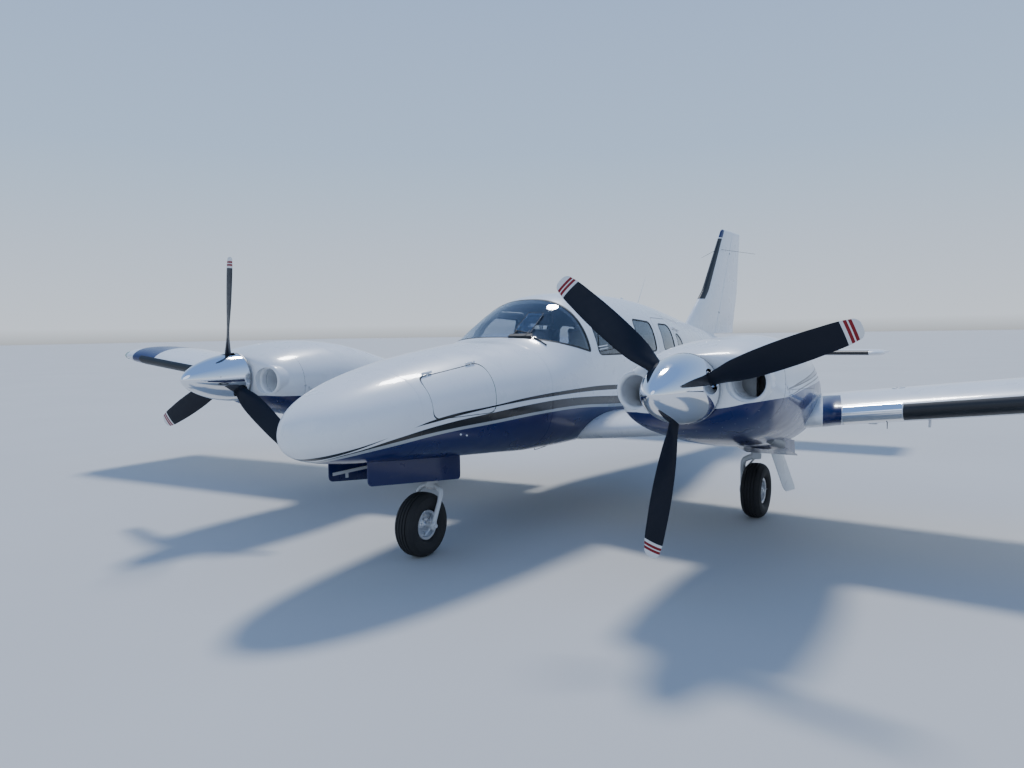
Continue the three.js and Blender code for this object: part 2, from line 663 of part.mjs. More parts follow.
// Propeller blade sections: radius, chord, thickness, angle from the plane of the disc in degrees.
// The two propellers turn opposite ways, so their blades are twisted opposite ways
const BLADE = [
  [70, 74, 66, 55],
  [180, 92, 52, 49],
  [330, 150, 27, 38],
  [520, 162, 19, 28],
  [760, 148, 14, 21],
  [925, 112, 9, 17],
  [PROP_RADIUS, 46, 6, 16],
];
function bladeSolid(side, angle) {
  const out = new THREE.Vector3(Math.sin(angle), 0, Math.cos(angle));
  const across = new THREE.Vector3(Math.cos(angle), 0, -Math.sin(angle));
  const aft = new THREE.Vector3(0, 1, 0);
  const centre = new THREE.Vector3(side * ENGINE_X, toY(PROP_STATION), PROP_Z);
  const rings = BLADE.map(([radius, chord, thickness, pitch]) => {
    const twist = side * THREE.MathUtils.degToRad(pitch);
    const chordWay = across.clone().multiplyScalar(Math.cos(twist)).addScaledVector(aft, Math.sin(twist));
    const faceWay = across.clone().multiplyScalar(-Math.sin(twist)).addScaledVector(aft, Math.cos(twist));
    return stationsBetween(0, 2 * Math.PI, 8).slice(0, 8).map((a) => centre.clone()
      .addScaledVector(out, radius)
      .addScaledVector(chordWay, (chord / 2) * Math.cos(a))
      .addScaledVector(faceWay, (thickness / 2) * Math.sin(a)).toArray());
  });
  return ringSolid(rings);
}

const SPINNER_WALL = 6;
const BLADE_ROOT_R = 58;
function propeller(side, start) {
  const x = side * ENGINE_X;
  const line = (s) => [x, toY(s), PROP_Z];
  let blades = rod(line(PROP_STATION - 60), line(HUB_BACK), HUB_R, FINE);
  let spinner = turned(spinnerProfile(0), [x, toY(0), PROP_Z], [0, 1, 0], FINE)
    .subtract(turned(spinnerProfile(SPINNER_WALL), [x, toY(0), PROP_Z], [0, 1, 0], FINE));
  const plate = rod(line(HUB_BACK - 14), line(HUB_BACK - 6), SPINNER_R - 2, FINE);
  spinner = spinner.add(plate.subtract(rod(line(HUB_BACK - 40), line(HUB_BACK + 20), HUB_R + SEAM * 2, FINE)));
  [0, 1, 2].forEach((k) => {
    const angle = start + (k * 2 * Math.PI) / 3;
    blades = blades.add(bladeSolid(side, angle));
    const tip = [x + 400 * Math.sin(angle), toY(PROP_STATION), PROP_Z + 400 * Math.cos(angle)];
    spinner = spinner.subtract(rod(line(PROP_STATION), tip, BLADE_ROOT_R, COARSE));
  });
  return { blades, spinner };
}
// Spinner profile of radius and station, drawn in by a wall; the back is open
function spinnerProfile(wall) {
  const profile = [];
  const count = 5;
  for (let i = 0; i <= count; i += 1) {
    const share = i / count;
    const radius = (SPINNER_R - wall) * (1 - (1 - share) ** 1.75) ** 0.62;
    profile.push([i === 0 ? 0 : radius, SPINNER_TIP + wall * 1.6 + (SPINNER_BACK - SPINNER_TIP - wall * 1.6) * share]);
  }
  const back = wall > 0 ? SPINNER_BACK + 5 : SPINNER_BACK;
  profile.push([SPINNER_R - wall, back], [0, back]);
  return profile;
}

// Fin and rudder as one section pile, parted at the sloping hinge line
const finFoil = airfoil(1, 0);
const FIN_HEIGHTS = [1370, 1631, 1850, 2063, 2450, 2870, 2940];
function finRing(z) {
  const leading = linear(FIN, 1, z);
  const trailing = linear(FIN, 2, z);
  const thick = linear(FIN, 3, z);
  return finFoil.ring.map(([share, half]) => [half * thick, toY(leading + share * (trailing - leading)), z]);
}
function linear(rows, column, at) {
  let i = 0;
  while (i < rows.length - 2 && at > rows[i + 1][0]) i += 1;
  const t = (at - rows[i][0]) / (rows[i + 1][0] - rows[i][0]);
  return rows[i][column] + (rows[i + 1][column] - rows[i][column]) * t;
}
const rudderSlope = (RUDDER_AXIS_HIGH[0] - RUDDER_AXIS_LOW[0]) / (RUDDER_AXIS_HIGH[1] - RUDDER_AXIS_LOW[1]);
const rudderStation = (z) => RUDDER_AXIS_LOW[0] + (z - RUDDER_AXIS_LOW[1]) * rudderSlope;
const rudderAxis = new THREE.Vector3(0, rudderSlope, 1).normalize().toArray();
function rudderHalf(z) {
  const leading = linear(FIN, 1, z);
  const chord = linear(FIN, 2, z) - leading;
  return finFoil.halfAt((rudderStation(z) - leading) / chord) * linear(FIN, 3, z) * 0.985;
}
function rudderCut(z0, z1, grow) {
  const lean = rudderAxis[2];
  const heights = [z0, ...FIN_HEIGHTS.filter((z) => z > z0 + 1 && z < z1 - 1), z1];
  return ringSolid(heights.map((z) => {
    const radius = rudderHalf(z) + grow;
    const middle = toY(rudderStation(z));
    const nose = stationsBetween(0, Math.PI, COARSE).map((a) =>
      [radius * Math.cos(a), middle - (radius / lean) * Math.sin(a), z]);
    return [...nose, [-300, middle, z], [-300, middle + 1200, z], [300, middle + 1200, z], [300, middle, z]];
  }));
}
let fin = ringSolid(FIN_HEIGHTS.map(finRing));
const finTop = FIN[FIN.length - 1][0];
let rudder = rudderCut(RUDDER_BOTTOM, finTop, 0).intersect(fin);
fin = biggest(fin.subtract(bodyOutside).subtract(rudderCut(1300, finTop + 50, RUDDER_GAP)));
const rudderPoint = (t) => {
  const z = RUDDER_AXIS_LOW[1] + (RUDDER_AXIS_HIGH[1] - RUDDER_AXIS_LOW[1]) * t;
  return [0, toY(rudderStation(z)), z];
};
RUDDER_ARMS.forEach((t) => {
  const reach = rudderHalf(rudderPoint(t)[2]) + RUDDER_GAP;
  const ahead = [0, -rudderAxis[2], rudderAxis[1]];
  [fin, rudder] = hingeArm(fin, rudder, rudderPoint(t), rudderAxis, ahead, reach);
});

// Stabilator in one piece, pivoted on a block at the end of the tail cone
const stabFoil = airfoil(STAB_THICK, 0);
const STAB_RIBS = [
  [STAB_INNER, 1, 0],
  [1930, 1, 0],
  [2030, 0.75, 40],
  [STAB_HALF_SPAN, 0.3, 130],
];
const PIVOT_BLOCK = { half: 26, tall: 62 };
let stabilator = box(-STAB_INNER - 20, STAB_INNER + 20, STAB_PIVOT - 52, STAB_PIVOT + 230, STAB_Z - 26, STAB_Z + 26);
Object.values(SIDES).forEach((side) => {
  stabilator = stabilator.add(ringSolid(STAB_RIBS.map(([x, share, nip]) => stabFoil.ring.map(([at, height]) => [
    side * x,
    toY(STAB_LE + nip + at * (STAB_CHORD - nip - nip * 0.3)),
    STAB_Z + height * STAB_CHORD * share,
  ]))));
});
const pivotNotch = PIVOT_BLOCK.half + 7;
stabilator = stabilator.subtract(box(-pivotNotch, pivotNotch, STAB_PIVOT - 80, STAB_PIVOT + 42, STAB_Z - 60, STAB_Z + 60));
stabilator = stabilator.add(rod([-pivotNotch - 8, toY(STAB_PIVOT), STAB_Z], [pivotNotch + 8, toY(STAB_PIVOT), STAB_Z], 10, 16));
let tailCone = bodyLoft(tailStations.map((s) => (s === CABIN_END ? s + SEAM : s)));
const tailWallStations = [CABIN_END - 10, 5400, 5900, 6400, 6900, 7400, 7700];
tailCone = tailCone.subtract(bodyLoft(tailWallStations, 30));
tailCone = tailCone.subtract(box(-400, 400, SLOT_FRONT, TAIL_END + 100, 900, SLOT_TOP));
tailCone = tailCone.add(box(-PIVOT_BLOCK.half, PIVOT_BLOCK.half, SLOT_FRONT - 20, STAB_PIVOT, STAB_Z - 28, STAB_Z + 28));
tailCone = tailCone.add(rod([-PIVOT_BLOCK.half, toY(STAB_PIVOT), STAB_Z], [PIVOT_BLOCK.half, toY(STAB_PIVOT), STAB_Z], 28, 20));
tailCone = tailCone.subtract(rod([-60, toY(STAB_PIVOT), STAB_Z], [60, toY(STAB_PIVOT), STAB_Z], 10.4, 16));

// Wheels and tyres, turned about X
const TYRE_PROFILE = [[108, -46], [118, -68], [152, -TYRE_HALF], [195, -71], [TYRE_R, -28], [TYRE_R, 28],
  [195, 71], [152, TYRE_HALF], [118, 68], [108, 46], [RIM_R + SEAM, 44], [RIM_R + SEAM, -44], [108, -46]];
const RIM_PROFILE = [[AXLE_R + 0.5, -38], [44, -38], [74, -20], [84, -54], [104, -54], [104, -46.5],
  [RIM_R, -46.5], [RIM_R, 46.5], [104, 46.5], [104, 54], [84, 54], [74, 20], [44, 38],
  [AXLE_R + 0.5, 38], [AXLE_R + 0.5, -38]];
const WHEEL_SIDES = 16;
const tyreAt = (x, station) => turned(TYRE_PROFILE, [x, toY(station), TYRE_R], [1, 0, 0], WHEEL_SIDES);
const rimAt = (x, station) => turned(RIM_PROFILE, [x, toY(station), TYRE_R], [1, 0, 0], WHEEL_SIDES);

// Nose gear: the raked leg, and the steered fork about the same line
const steerTop = [0, toY(NOSE_STEER_TOP[0]), NOSE_STEER_TOP[1]];
const steerAxle = [0, toY(NOSE_AXLE), TYRE_R];
const steerPoint = (t) => steerAxle.map((v, i) => v + (steerTop[i] - v) * t);
const LEG_R = 31;
const PISTON_R = 24;
const FORK_TOP = 0.42;
const FORK_X = 104;
let noseLeg = rod(steerPoint(0.62), steerPoint(1.0), LEG_R, FINE)
  .add(rod(steerPoint(0.6), steerPoint(0.66), LEG_R + 8, FINE))
  .subtract(rod(steerPoint(0.5), steerPoint(0.72), PISTON_R + 1, FINE));
noseLeg = noseLeg.add(rod([-WELL_HALF + SEAM, steerTop[1], steerTop[2]], [WELL_HALF - SEAM, steerTop[1], steerTop[2]], 20, PLAIN));
noseLeg = noseLeg.add(rod(steerPoint(0.9), [0, toY(1180), WELL_TOP - SEAM - 6], 14, COARSE));
noseLeg = noseLeg.intersect(box(-300, 300, 600, 1600, 0, WELL_TOP - SEAM));
let noseFork = rod(steerPoint(FORK_TOP), steerPoint(0.715), PISTON_R, FINE);
noseFork = noseFork.add(rod(steerPoint(FORK_TOP - 0.01), steerPoint(FORK_TOP + 0.09), 34, PLAIN));
[-1, 1].forEach((hand) => {
  const shoulder = steerPoint(FORK_TOP + 0.03);
  const corner = steerPoint(FORK_TOP - 0.04);
  corner[0] = hand * FORK_X;
  const foot = [hand * FORK_X, steerAxle[1], steerAxle[2]];
  noseFork = noseFork.add(rod(shoulder, corner, 17, COARSE)).add(rod(corner, foot, 15, COARSE, 13));
  noseFork = noseFork.add(rod([hand * (FORK_X - 13), foot[1], foot[2]], [hand * (FORK_X + 13), foot[1], foot[2]], 27, PLAIN));
});
noseFork = noseFork.add(rod([-FORK_X, steerAxle[1], steerAxle[2]], [FORK_X, steerAxle[1], steerAxle[2]], AXLE_R, FINE));

// Well in the underside of the wing for the leg and wheel; its ceiling follows the wing
const WHEEL_WELL = { front: 3215, back: 3565, inner: 1010, outer: MAIN_WHEEL_X + 60, ceiling: -12 };
function wheelWell(side, lower = 0) {
  const w = WHEEL_WELL;
  return ringSolid([w.inner, w.outer].map((x) => {
    const z = ribLift(x) + w.ceiling - lower;
    const low = lower > 0 ? 0 : z - 300;
    return [[w.front, low], [w.back, low], [w.back, z], [w.front, z]].map(([s, h]) => [side * x, toY(s), h]);
  }));
}

// Main gear: leg up into the well, and its arm down the inner side of the wheel
const LEG_FOOT = 505;
const LEG_TUBE_R = 33;
const ARM_SHOULDER = 472;
const ARM_X = MAIN_WHEEL_X - TYRE_HALF - 28;
const BRACE = { low: 620, high: 900, reach: 330 };
function mainLeg(side) {
  const x = side * MAIN_WHEEL_X;
  const y = toY(MAIN_AXLE);
  const armX = side * ARM_X;
  let leg = rod([x, y, LEG_FOOT], [x, y, 1000], LEG_TUBE_R, PLAIN);
  leg = leg.add(rod([x, y, LEG_FOOT - 22], [x, y, LEG_FOOT + 30], LEG_TUBE_R + 7, PLAIN));
  leg = leg.add(rod([x, y, LEG_FOOT], [armX, y, ARM_SHOULDER], 23, COARSE));
  leg = leg.add(rod([armX, y, ARM_SHOULDER + 12], [armX, y, TYRE_R], 23, COARSE));
  leg = leg.add(rod([armX - 18, y, TYRE_R], [armX + 18, y, TYRE_R], 36, PLAIN));
  leg = leg.add(rod([armX, y, TYRE_R], [x + side * 58, y, TYRE_R], AXLE_R, FINE));
  leg = leg.add(rod([x, y, BRACE.low], [x - side * BRACE.reach, y, BRACE.high], 15, COARSE));
  return biggest(leg.intersect(wheelWell(side, SEAM)));
}

// Door on the main leg, a thin plate that leans out and aft, its back edge further out than its front
const STRUT_DOOR = { x: 98, top: 640, bottom: 232, front: 3330, back: 3500, out: 128, splay: 45, aft: 45, thick: 7, stayZ: 565 };
function strutDoor(side) {
  const d = STRUT_DOOR;
  const at = (along, up, deep) => [side * (MAIN_WHEEL_X + d.x + d.out * (1 - up) + d.splay * along + deep),
    toY(d.front + (d.back - d.front) * along + d.aft * (1 - up)), d.bottom + (d.top - d.bottom) * up];
  const rings = [0, 1].map((up) => [at(0, up, 0), at(0, up, d.thick), at(1, up, d.thick), at(1, up, 0)]);
  const tube = (z) => [side * MAIN_WHEEL_X, toY(MAIN_AXLE), z];
  const up = (d.stayZ - d.bottom) / (d.top - d.bottom);
  const along = (MAIN_AXLE + 4 - d.front - d.aft * (1 - up)) / (d.back - d.front);
  const stay = rod(tube(d.stayZ), at(along, up, d.thick / 2), 10, PLAIN)
    .subtract(rod(tube(d.stayZ - 60), tube(d.stayZ + 60), LEG_TUBE_R + 1.06 * SEAM, PLAIN));
  return ringSolid(rings).add(stay);
}

// Nose-gear doors, hanging beside the open well
const NOSE_DOOR = { front: 470, back: 1400, frontLow: 622, backLow: 515, thick: 7 };
function noseDoor(side) {
  const d = NOSE_DOOR;
  const outline = [[toY(d.front), d.frontLow], [toY(d.back), d.backLow], [toY(d.back), 900], [toY(d.front), 900]];
  const inner = side * (WELL_HALF + 2);
  const outer = side * (WELL_HALF + 2 + d.thick);
  return sidePrism(outline, Math.min(inner, outer), Math.max(inner, outer)).subtract(bodyOutside);
}

// Seats: rows across the cabin on a common floor rail
const SEAT = { x: 245, half: 195, cushion: 110, cushionZ: 1055, deep: 440, backTall: 540, backThick: 95 };
function seatRow(station, facing, tall = SEAT.backTall) {
  const s = { ...SEAT, backTall: tall };
  let row = box(-s.x - 60, s.x + 60, station - 25, station + 25, FLOOR_Z + SEAM, FLOOR_Z + 30);
  [-1, 1].forEach((hand) => {
    const x = hand * s.x;
    row = row.add(box(x - 110, x + 110, station - 130, station + 130, FLOOR_Z + SEAM, s.cushionZ - s.cushion + 10));
    row = row.add(box(x - s.half, x + s.half, station - s.deep / 2, station + s.deep / 2, s.cushionZ - s.cushion, s.cushionZ));
    const base = station + facing * (s.deep / 2 - 40);
    const lean = facing * 90;
    const outline = [[toY(base), s.cushionZ - 60], [toY(base + facing * s.backThick), s.cushionZ - 60],
      [toY(base + lean + facing * s.backThick), s.cushionZ + s.backTall], [toY(base + lean), s.cushionZ + s.backTall]];
    row = row.add(sidePrism(outline, x - s.half + 15, x + s.half - 25));
    const head = base + lean * 1.05 + facing * 20;
    row = row.add(box(x - 120, x + 120, Math.min(head, head + facing * 80), Math.max(head, head + facing * 80),
      s.cushionZ + s.backTall - 5, s.cushionZ + s.backTall + 120));
  });
  return row;
}

const PANEL = { front: 2200, back: 2500, half: 500, low: 1080, top: 1405 };
function panel() {
  const p = PANEL;
  let board = box(-p.half, p.half, p.front, p.back, p.low, p.top)
    .add(box(-p.half - 20, p.half + 20, p.front, p.back + 90, p.top - 20, p.top + 12))
    .add(box(-110, 110, p.back - 160, p.back + 40, FLOOR_Z + SEAM, p.low + 40));
  [-1, 1].forEach((hand) => {
    const x = hand * SEAT.x;
    board = board.add(rod([x, toY(p.back - 20), 1215], [x, toY(p.back + 190), 1225], 13, 10));
    board = board.add(box(x - 150, x + 150, p.back + 180, p.back + 205, 1208, 1238));
    [-1, 1].forEach((grip) => {
      board = board.add(rod([x + grip * 140, toY(p.back + 192), 1210], [x + grip * 150, toY(p.back + 192), 1325], 14, 10));
    });
  });
  return board.intersect(bodyLoft(cabinStations, WALL + SEAM)).intersect(box(-900, 900, CABIN_FRONT + 20, 3000, 0, 3000));
}

// Doors on their hinges
const frames = { nose: noseSection, cabin: cabinShell };
const doors = { baggage_door: baggageDoor, ...doorSolids };
Object.keys(doors).forEach((name) => {
  const frame = name === 'baggage_door' ? 'nose' : 'cabin';
  [frames[frame], doors[name]] = hang(frames[frame], biggest(doors[name]), name);
  keep(name, doors[name], white);
});
keep('nose_section', frames.nose, white);
keep('cabin_shell', frames.cabin, white);
keep('tail_cone', tailCone, white);
keep('windshield', windshield, glass);
Object.entries(paneOf).forEach(([name, pane]) => keep(name, biggest(pane), glass));
keep('instrument_panel', panel(), grey);
keep('seats_front', seatRow(2870, 1), hide);
keep('seats_middle', seatRow(3640, -1), hide);
keep('seats_rear', seatRow(4300, 1, 440), hide);

Object.entries(SIDES).forEach(([sideName, side]) => {
  const solids = wingSide(side);
  const wing = solids.wing.subtract(wheelWell(side));
  keep(`wing_${sideName}`, wing, white);
  keep(`flap_${sideName}`, solids.flap, white);
  keep(`aileron_${sideName}`, solids.aileron, white);
  keep(`cowling_${sideName}`, cowling(side), white);
  keep(`nacelle_${sideName}`, rearNacelle(side, solids.grown), blue);
  keep(`engine_${sideName}`, engine(side), dull);
  const { blades, spinner } = propeller(side, PROP_ANGLES[sideName]);
  keep(`propeller_${sideName}`, blades, black);
  keep(`spinner_${sideName}`, spinner, polished);
  keep(`main_leg_${sideName}`, mainLeg(side), white);
  keep(`main_wheel_${sideName}`, rimAt(side * MAIN_WHEEL_X, MAIN_AXLE), white);
  keep(`main_tyre_${sideName}`, tyreAt(side * MAIN_WHEEL_X, MAIN_AXLE), rubber);
  keep(`strut_door_${sideName}`, strutDoor(side), white);
  keep(`nose_door_${sideName}`, noseDoor(side), blue);
});
keep('fin', fin, white);
keep('rudder', rudder, white);
keep('stabilator', stabilator, white);
keep('nose_leg', noseLeg, dull);
keep('nose_fork', noseFork, white);
keep('nose_wheel', rimAt(0, NOSE_AXLE), white);
keep('nose_tyre', tyreAt(0, NOSE_AXLE), rubber);

const aircraft = new THREE.Group();
Object.entries(parts).forEach(([name, { solid, look }]) => {
  const { vertProperties, triVerts } = solid.getMesh();
  const geometry = new THREE.BufferGeometry();
  geometry.setAttribute('position', new THREE.BufferAttribute(new Float32Array(vertProperties), 3));
  geometry.setIndex(new THREE.BufferAttribute(new Uint32Array(triVerts), 1));
  geometry.computeVertexNormals();
  const mesh = new THREE.Mesh(geometry, look);
  mesh.name = name;
  aircraft.add(mesh);
});

export default aircraft;
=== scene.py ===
import math
import bmesh
import bpy
import numpy as np
from mathutils import Matrix, Vector


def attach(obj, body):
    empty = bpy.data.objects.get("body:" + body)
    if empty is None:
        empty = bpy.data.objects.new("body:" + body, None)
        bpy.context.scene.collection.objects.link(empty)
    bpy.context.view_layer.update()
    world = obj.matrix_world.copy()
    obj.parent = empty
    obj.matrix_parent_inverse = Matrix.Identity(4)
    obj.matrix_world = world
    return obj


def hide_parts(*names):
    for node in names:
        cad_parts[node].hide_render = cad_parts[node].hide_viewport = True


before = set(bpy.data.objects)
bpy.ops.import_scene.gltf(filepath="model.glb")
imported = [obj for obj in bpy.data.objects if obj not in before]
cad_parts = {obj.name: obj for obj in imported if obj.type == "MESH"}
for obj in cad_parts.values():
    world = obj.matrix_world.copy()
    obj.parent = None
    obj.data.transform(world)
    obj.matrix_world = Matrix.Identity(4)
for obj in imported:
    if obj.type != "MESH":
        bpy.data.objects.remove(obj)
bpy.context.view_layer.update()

# Metres throughout. A place is (x, station, z): +x is the aircraft's left,
# the station is the distance aft of the nose tip, and z is the height above the ground.
noseY = -4.36  # the nose tip, as far ahead of the origin as the tail is behind it
sides = {"left": 1, "right": -1}
print("frame loaded:", len(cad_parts), "nodes")


def toPlace(point):
    return (point[0], point[1] + noseY, point[2])


def newObject(name, verts, faces):
    mesh = bpy.data.meshes.new(name)
    mesh.from_pydata([toPlace(v) for v in verts], [], faces)
    obj = bpy.data.objects.new(name, mesh)
    bpy.context.scene.collection.objects.link(obj)
    return obj


def faceOut(obj):
    bm = bmesh.new()
    bm.from_mesh(obj.data)
    bmesh.ops.remove_doubles(bm, verts=bm.verts, dist=1e-6)
    bmesh.ops.recalc_face_normals(bm, faces=bm.faces)
    bm.to_mesh(obj.data)
    bm.free()
    return obj


def bake(obj):
    bpy.context.view_layer.update()
    graph = bpy.context.evaluated_depsgraph_get()
    mesh = bpy.data.meshes.new_from_object(obj.evaluated_get(graph))
    obj.modifiers.clear()
    old = obj.data
    obj.data = mesh
    mesh.name = obj.name
    bpy.data.meshes.remove(old)
    return obj


def discard(*objs):
    for obj in objs:
        mesh = obj.data
        bpy.data.objects.remove(obj)
        bpy.data.meshes.remove(mesh)


def copyOf(obj, name):
    twin = bpy.data.objects.new(name, obj.data.copy())
    bpy.context.scene.collection.objects.link(twin)
    return twin


def carve(obj, *tools, how="DIFFERENCE", keep=False):
    for tool in tools:
        modifier = obj.modifiers.new("carve", "BOOLEAN")
        modifier.operation = how
        modifier.object = tool
        modifier.solver = "MANIFOLD"
    before = len(obj.data.polygons)
    bake(obj)
    if len(obj.data.polygons) == before:
        print("no change carving", obj.name, how, [t.name for t in tools])
    if not keep:
        discard(*tools)
    return obj


def joined(name, parts):
    whole = bmesh.new()
    for part in parts:
        whole.from_mesh(part.data)
    mesh = bpy.data.meshes.new(name)
    whole.to_mesh(mesh)
    whole.free()
    obj = bpy.data.objects.new(name, mesh)
    bpy.context.scene.collection.objects.link(obj)
    discard(*parts)
    return obj


def fit(obj, name, body, look, replaces=(), angle=28, weighted=False):
    obj.name = name
    obj.data.name = name
    looks = look if isinstance(look, list) else [look]
    obj.data.materials.clear()
    for one in looks:
        obj.data.materials.append(one)
    obj.data.shade_smooth()
    obj.data.set_sharp_from_angle(angle=math.radians(angle))
    if weighted:
        modifier = obj.modifiers.new("even shading", "WEIGHTED_NORMAL")
        modifier.keep_sharp = True
        bake(obj)
    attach(obj, body)
    if replaces:
        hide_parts(*([replaces] if isinstance(replaces, str) else replaces))
    return obj


def paintFaces(obj, index, test):
    for face in obj.data.polygons:
        x, y, z = face.center
        if test(x, y - noseY, z, face.normal):
            face.material_index = index


# Shapes: closed solids from rings, outlines and profiles

def loft(name, rings, ends=True, closed=True):
    count = len(rings[0])
    verts = [tuple(point) for ring in rings for point in ring]
    faces = []
    for r in range(len(rings) - 1):
        for i in range(count if closed else count - 1):
            a, b = r * count + i, r * count + (i + 1) % count
            faces.append((a, b, b + count, a + count))
    if ends:
        last = (len(rings) - 1) * count
        faces += [tuple(range(count))[::-1], tuple(range(last, last + count))]
    return faceOut(newObject(name, verts, faces))


def tubeLoft(name, outer, inner):
    count, rows = len(outer[0]), len(outer)
    verts = [tuple(p) for rings in (outer, inner) for ring in rings for p in ring]
    inside = count * rows
    faces = []
    for i in range(count):
        j = (i + 1) % count
        for r in range(rows - 1):
            a, b = r * count + i, r * count + j
            faces += [(a, b, b + count, a + count),
                      (inside + a, inside + a + count, inside + b + count, inside + b)]
        end = (rows - 1) * count
        faces += [(i, inside + i, inside + j, j), (end + i, end + j, inside + end + j, inside + end + i)]
    return faceOut(newObject(name, verts, faces))


def box(name, x0, x1, s0, s1, z0, z1):
    return loft(name, [[(x, s0, z0), (x, s1, z0), (x, s1, z1), (x, s0, z1)] for x in (x0, x1)])


def bevelled(obj, width, steps=2, angle=30):
    modifier = obj.modifiers.new("edges", "BEVEL")
    modifier.width = width
    modifier.segments = steps
    modifier.limit_method = "ANGLE"
    modifier.angle_limit = math.radians(angle)
    return bake(obj)


def basisOf(direction):
    way = Vector(direction).normalized()
    side = Vector((0, 0, 1)).cross(way)
    if side.length < 1e-4:
        side = Vector((1, 0, 0))
    side.normalize()
    return side, way.cross(side).normalized(), way


def lathe(name, profile, centre, direction, count=48, closed=False):
    side, up, way = basisOf(direction)
    centre = Vector(centre)
    verts, rows = [], []
    for radius, along in profile:
        if radius < 1e-6:
            rows.append([len(verts)])
            verts.append(tuple(centre + way * along))
            continue
        rows.append(list(range(len(verts), len(verts) + count)))
        for i in range(count):
            turn = 2 * math.pi * i / count
            verts.append(tuple(centre + way * along + (side * math.cos(turn) + up * math.sin(turn)) * radius))
    faces = []
    pairs = list(zip(rows, rows[1:])) + ([(rows[-1], rows[0])] if closed else [])
    for a, b in pairs:
        for i in range(count):
            j = (i + 1) % count
            corners = [a[i % len(a)], a[j % len(a)], b[j % len(b)], b[i % len(b)]]
            corners = list(dict.fromkeys(corners))
            if len(corners) > 2:
                faces.append(tuple(corners))
    if not closed:
        faces += [tuple(row) for row in (rows[0], rows[-1]) if len(row) > 1]
    return faceOut(newObject(name, verts, faces))


def rod(name, start, end, radius, endRadius=None, count=24, soft=0.0):
    length = (Vector(end) - Vector(start)).length
    endRadius = radius if endRadius is None else endRadius
    profile = [(radius, 0), (endRadius, length)]
    if soft:
        profile = [(radius - soft, 0), (radius - soft * 0.3, soft * 0.3), (radius, soft),
                   (endRadius, length - soft), (endRadius - soft * 0.3, length - soft * 0.3),
                   (endRadius - soft, length)]
    return lathe(name, profile, start, Vector(end) - Vector(start), count)


def smoothPath(points, steps=8):
    places = [Vector(p) for p in points]
    path = []
    for i in range(len(places) - 1):
        before = places[max(i - 1, 0)]
        after = places[min(i + 2, len(places) - 1)]
        a, b = places[i], places[i + 1]
        for k in range(steps):
            t = k / steps
            path.append(0.5 * ((2 * a) + (b - before) * t + (2 * before - 5 * a + 4 * b - after) * t * t
                               + (3 * a - before - 3 * b + after) * t ** 3))
    path.append(places[-1])
    return path


def swept(name, path, radius, count=12, flat=1.0):
    path = [Vector(p) for p in path]
    sizes = radius if isinstance(radius, list) else [radius] * len(path)
    side = basisOf(path[1] - path[0])[0]
    rings = []
    for i, point in enumerate(path):
        way = (path[min(i + 1, len(path) - 1)] - path[max(i - 1, 0)]).normalized()
        side = (side - way * side.dot(way)).normalized()
        up = way.cross(side)
        rings.append([tuple(point + (side * math.cos(a) + up * flat * math.sin(a)) * sizes[i])
                      for a in (2 * math.pi * k / count for k in range(count))])
    return loft(name, rings)


def rounded(corners, radius, steps=6):
    outline = []
    for i, corner in enumerate(corners):
        before, here, after = Vector(corners[i - 1]), Vector(corner), Vector(corners[(i + 1) % len(corners)])
        reach = min(radius, (before - here).length * 0.45, (after - here).length * 0.45)
        start = here + (before - here).normalized() * reach
        end = here + (after - here).normalized() * reach
        for k in range(steps + 1):
            t = k / steps
            outline.append(tuple(start * (1 - t) ** 2 + here * 2 * t * (1 - t) + end * t * t))
    return outline


def drawnIn(outline, distance):
    points = []
    for i, here in enumerate(outline):
        here = Vector(here)
        u = (here - Vector(outline[i - 1])).normalized()
        v = (Vector(outline[(i + 1) % len(outline)]) - here).normalized()
        turn = u.x * v.y - u.y * v.x
        share = 0 if abs(turn) < 1e-5 else (1 - u.dot(v)) / turn
        points.append((here.x + distance * (-u.y - u.x * share), here.y + distance * (u.x - u.y * share)))
    return points


def sidePrism(name, outline, x0, x1):
    return loft(name, [[(x, s, z) for s, z in outline] for x in (x0, x1)])


# Curves through the rows of a table

def curveThrough(places, values):
    xs, ys = np.array(places, float), np.array(values, float)
    gap, rise = np.diff(xs), np.diff(ys) / np.diff(xs)
    slope = np.concatenate(([rise[0]], (rise[:-1] * gap[1:] + rise[1:] * gap[:-1]) / (gap[:-1] + gap[1:]),
                            [rise[-1]]))
    for i in range(1, len(xs) - 1):
        if rise[i - 1] * rise[i] <= 0:
            slope[i] = 0
        else:
            limit = 2.5 * min(abs(rise[i - 1]), abs(rise[i]))
            slope[i] = max(-limit, min(limit, slope[i]))

    def at(x):
        x = min(max(x, xs[0]), xs[-1])
        i = min(int(np.searchsorted(xs, x, "right")) - 1, len(xs) - 2)
        span = gap[i]
        t = (x - xs[i]) / span
        return float(ys[i] + (ys[i + 1] - ys[i]) * t * t * (3 - 2 * t)
                     + slope[i] * span * t * (1 - t) ** 2 - slope[i + 1] * span * t * t * (1 - t))
    return at


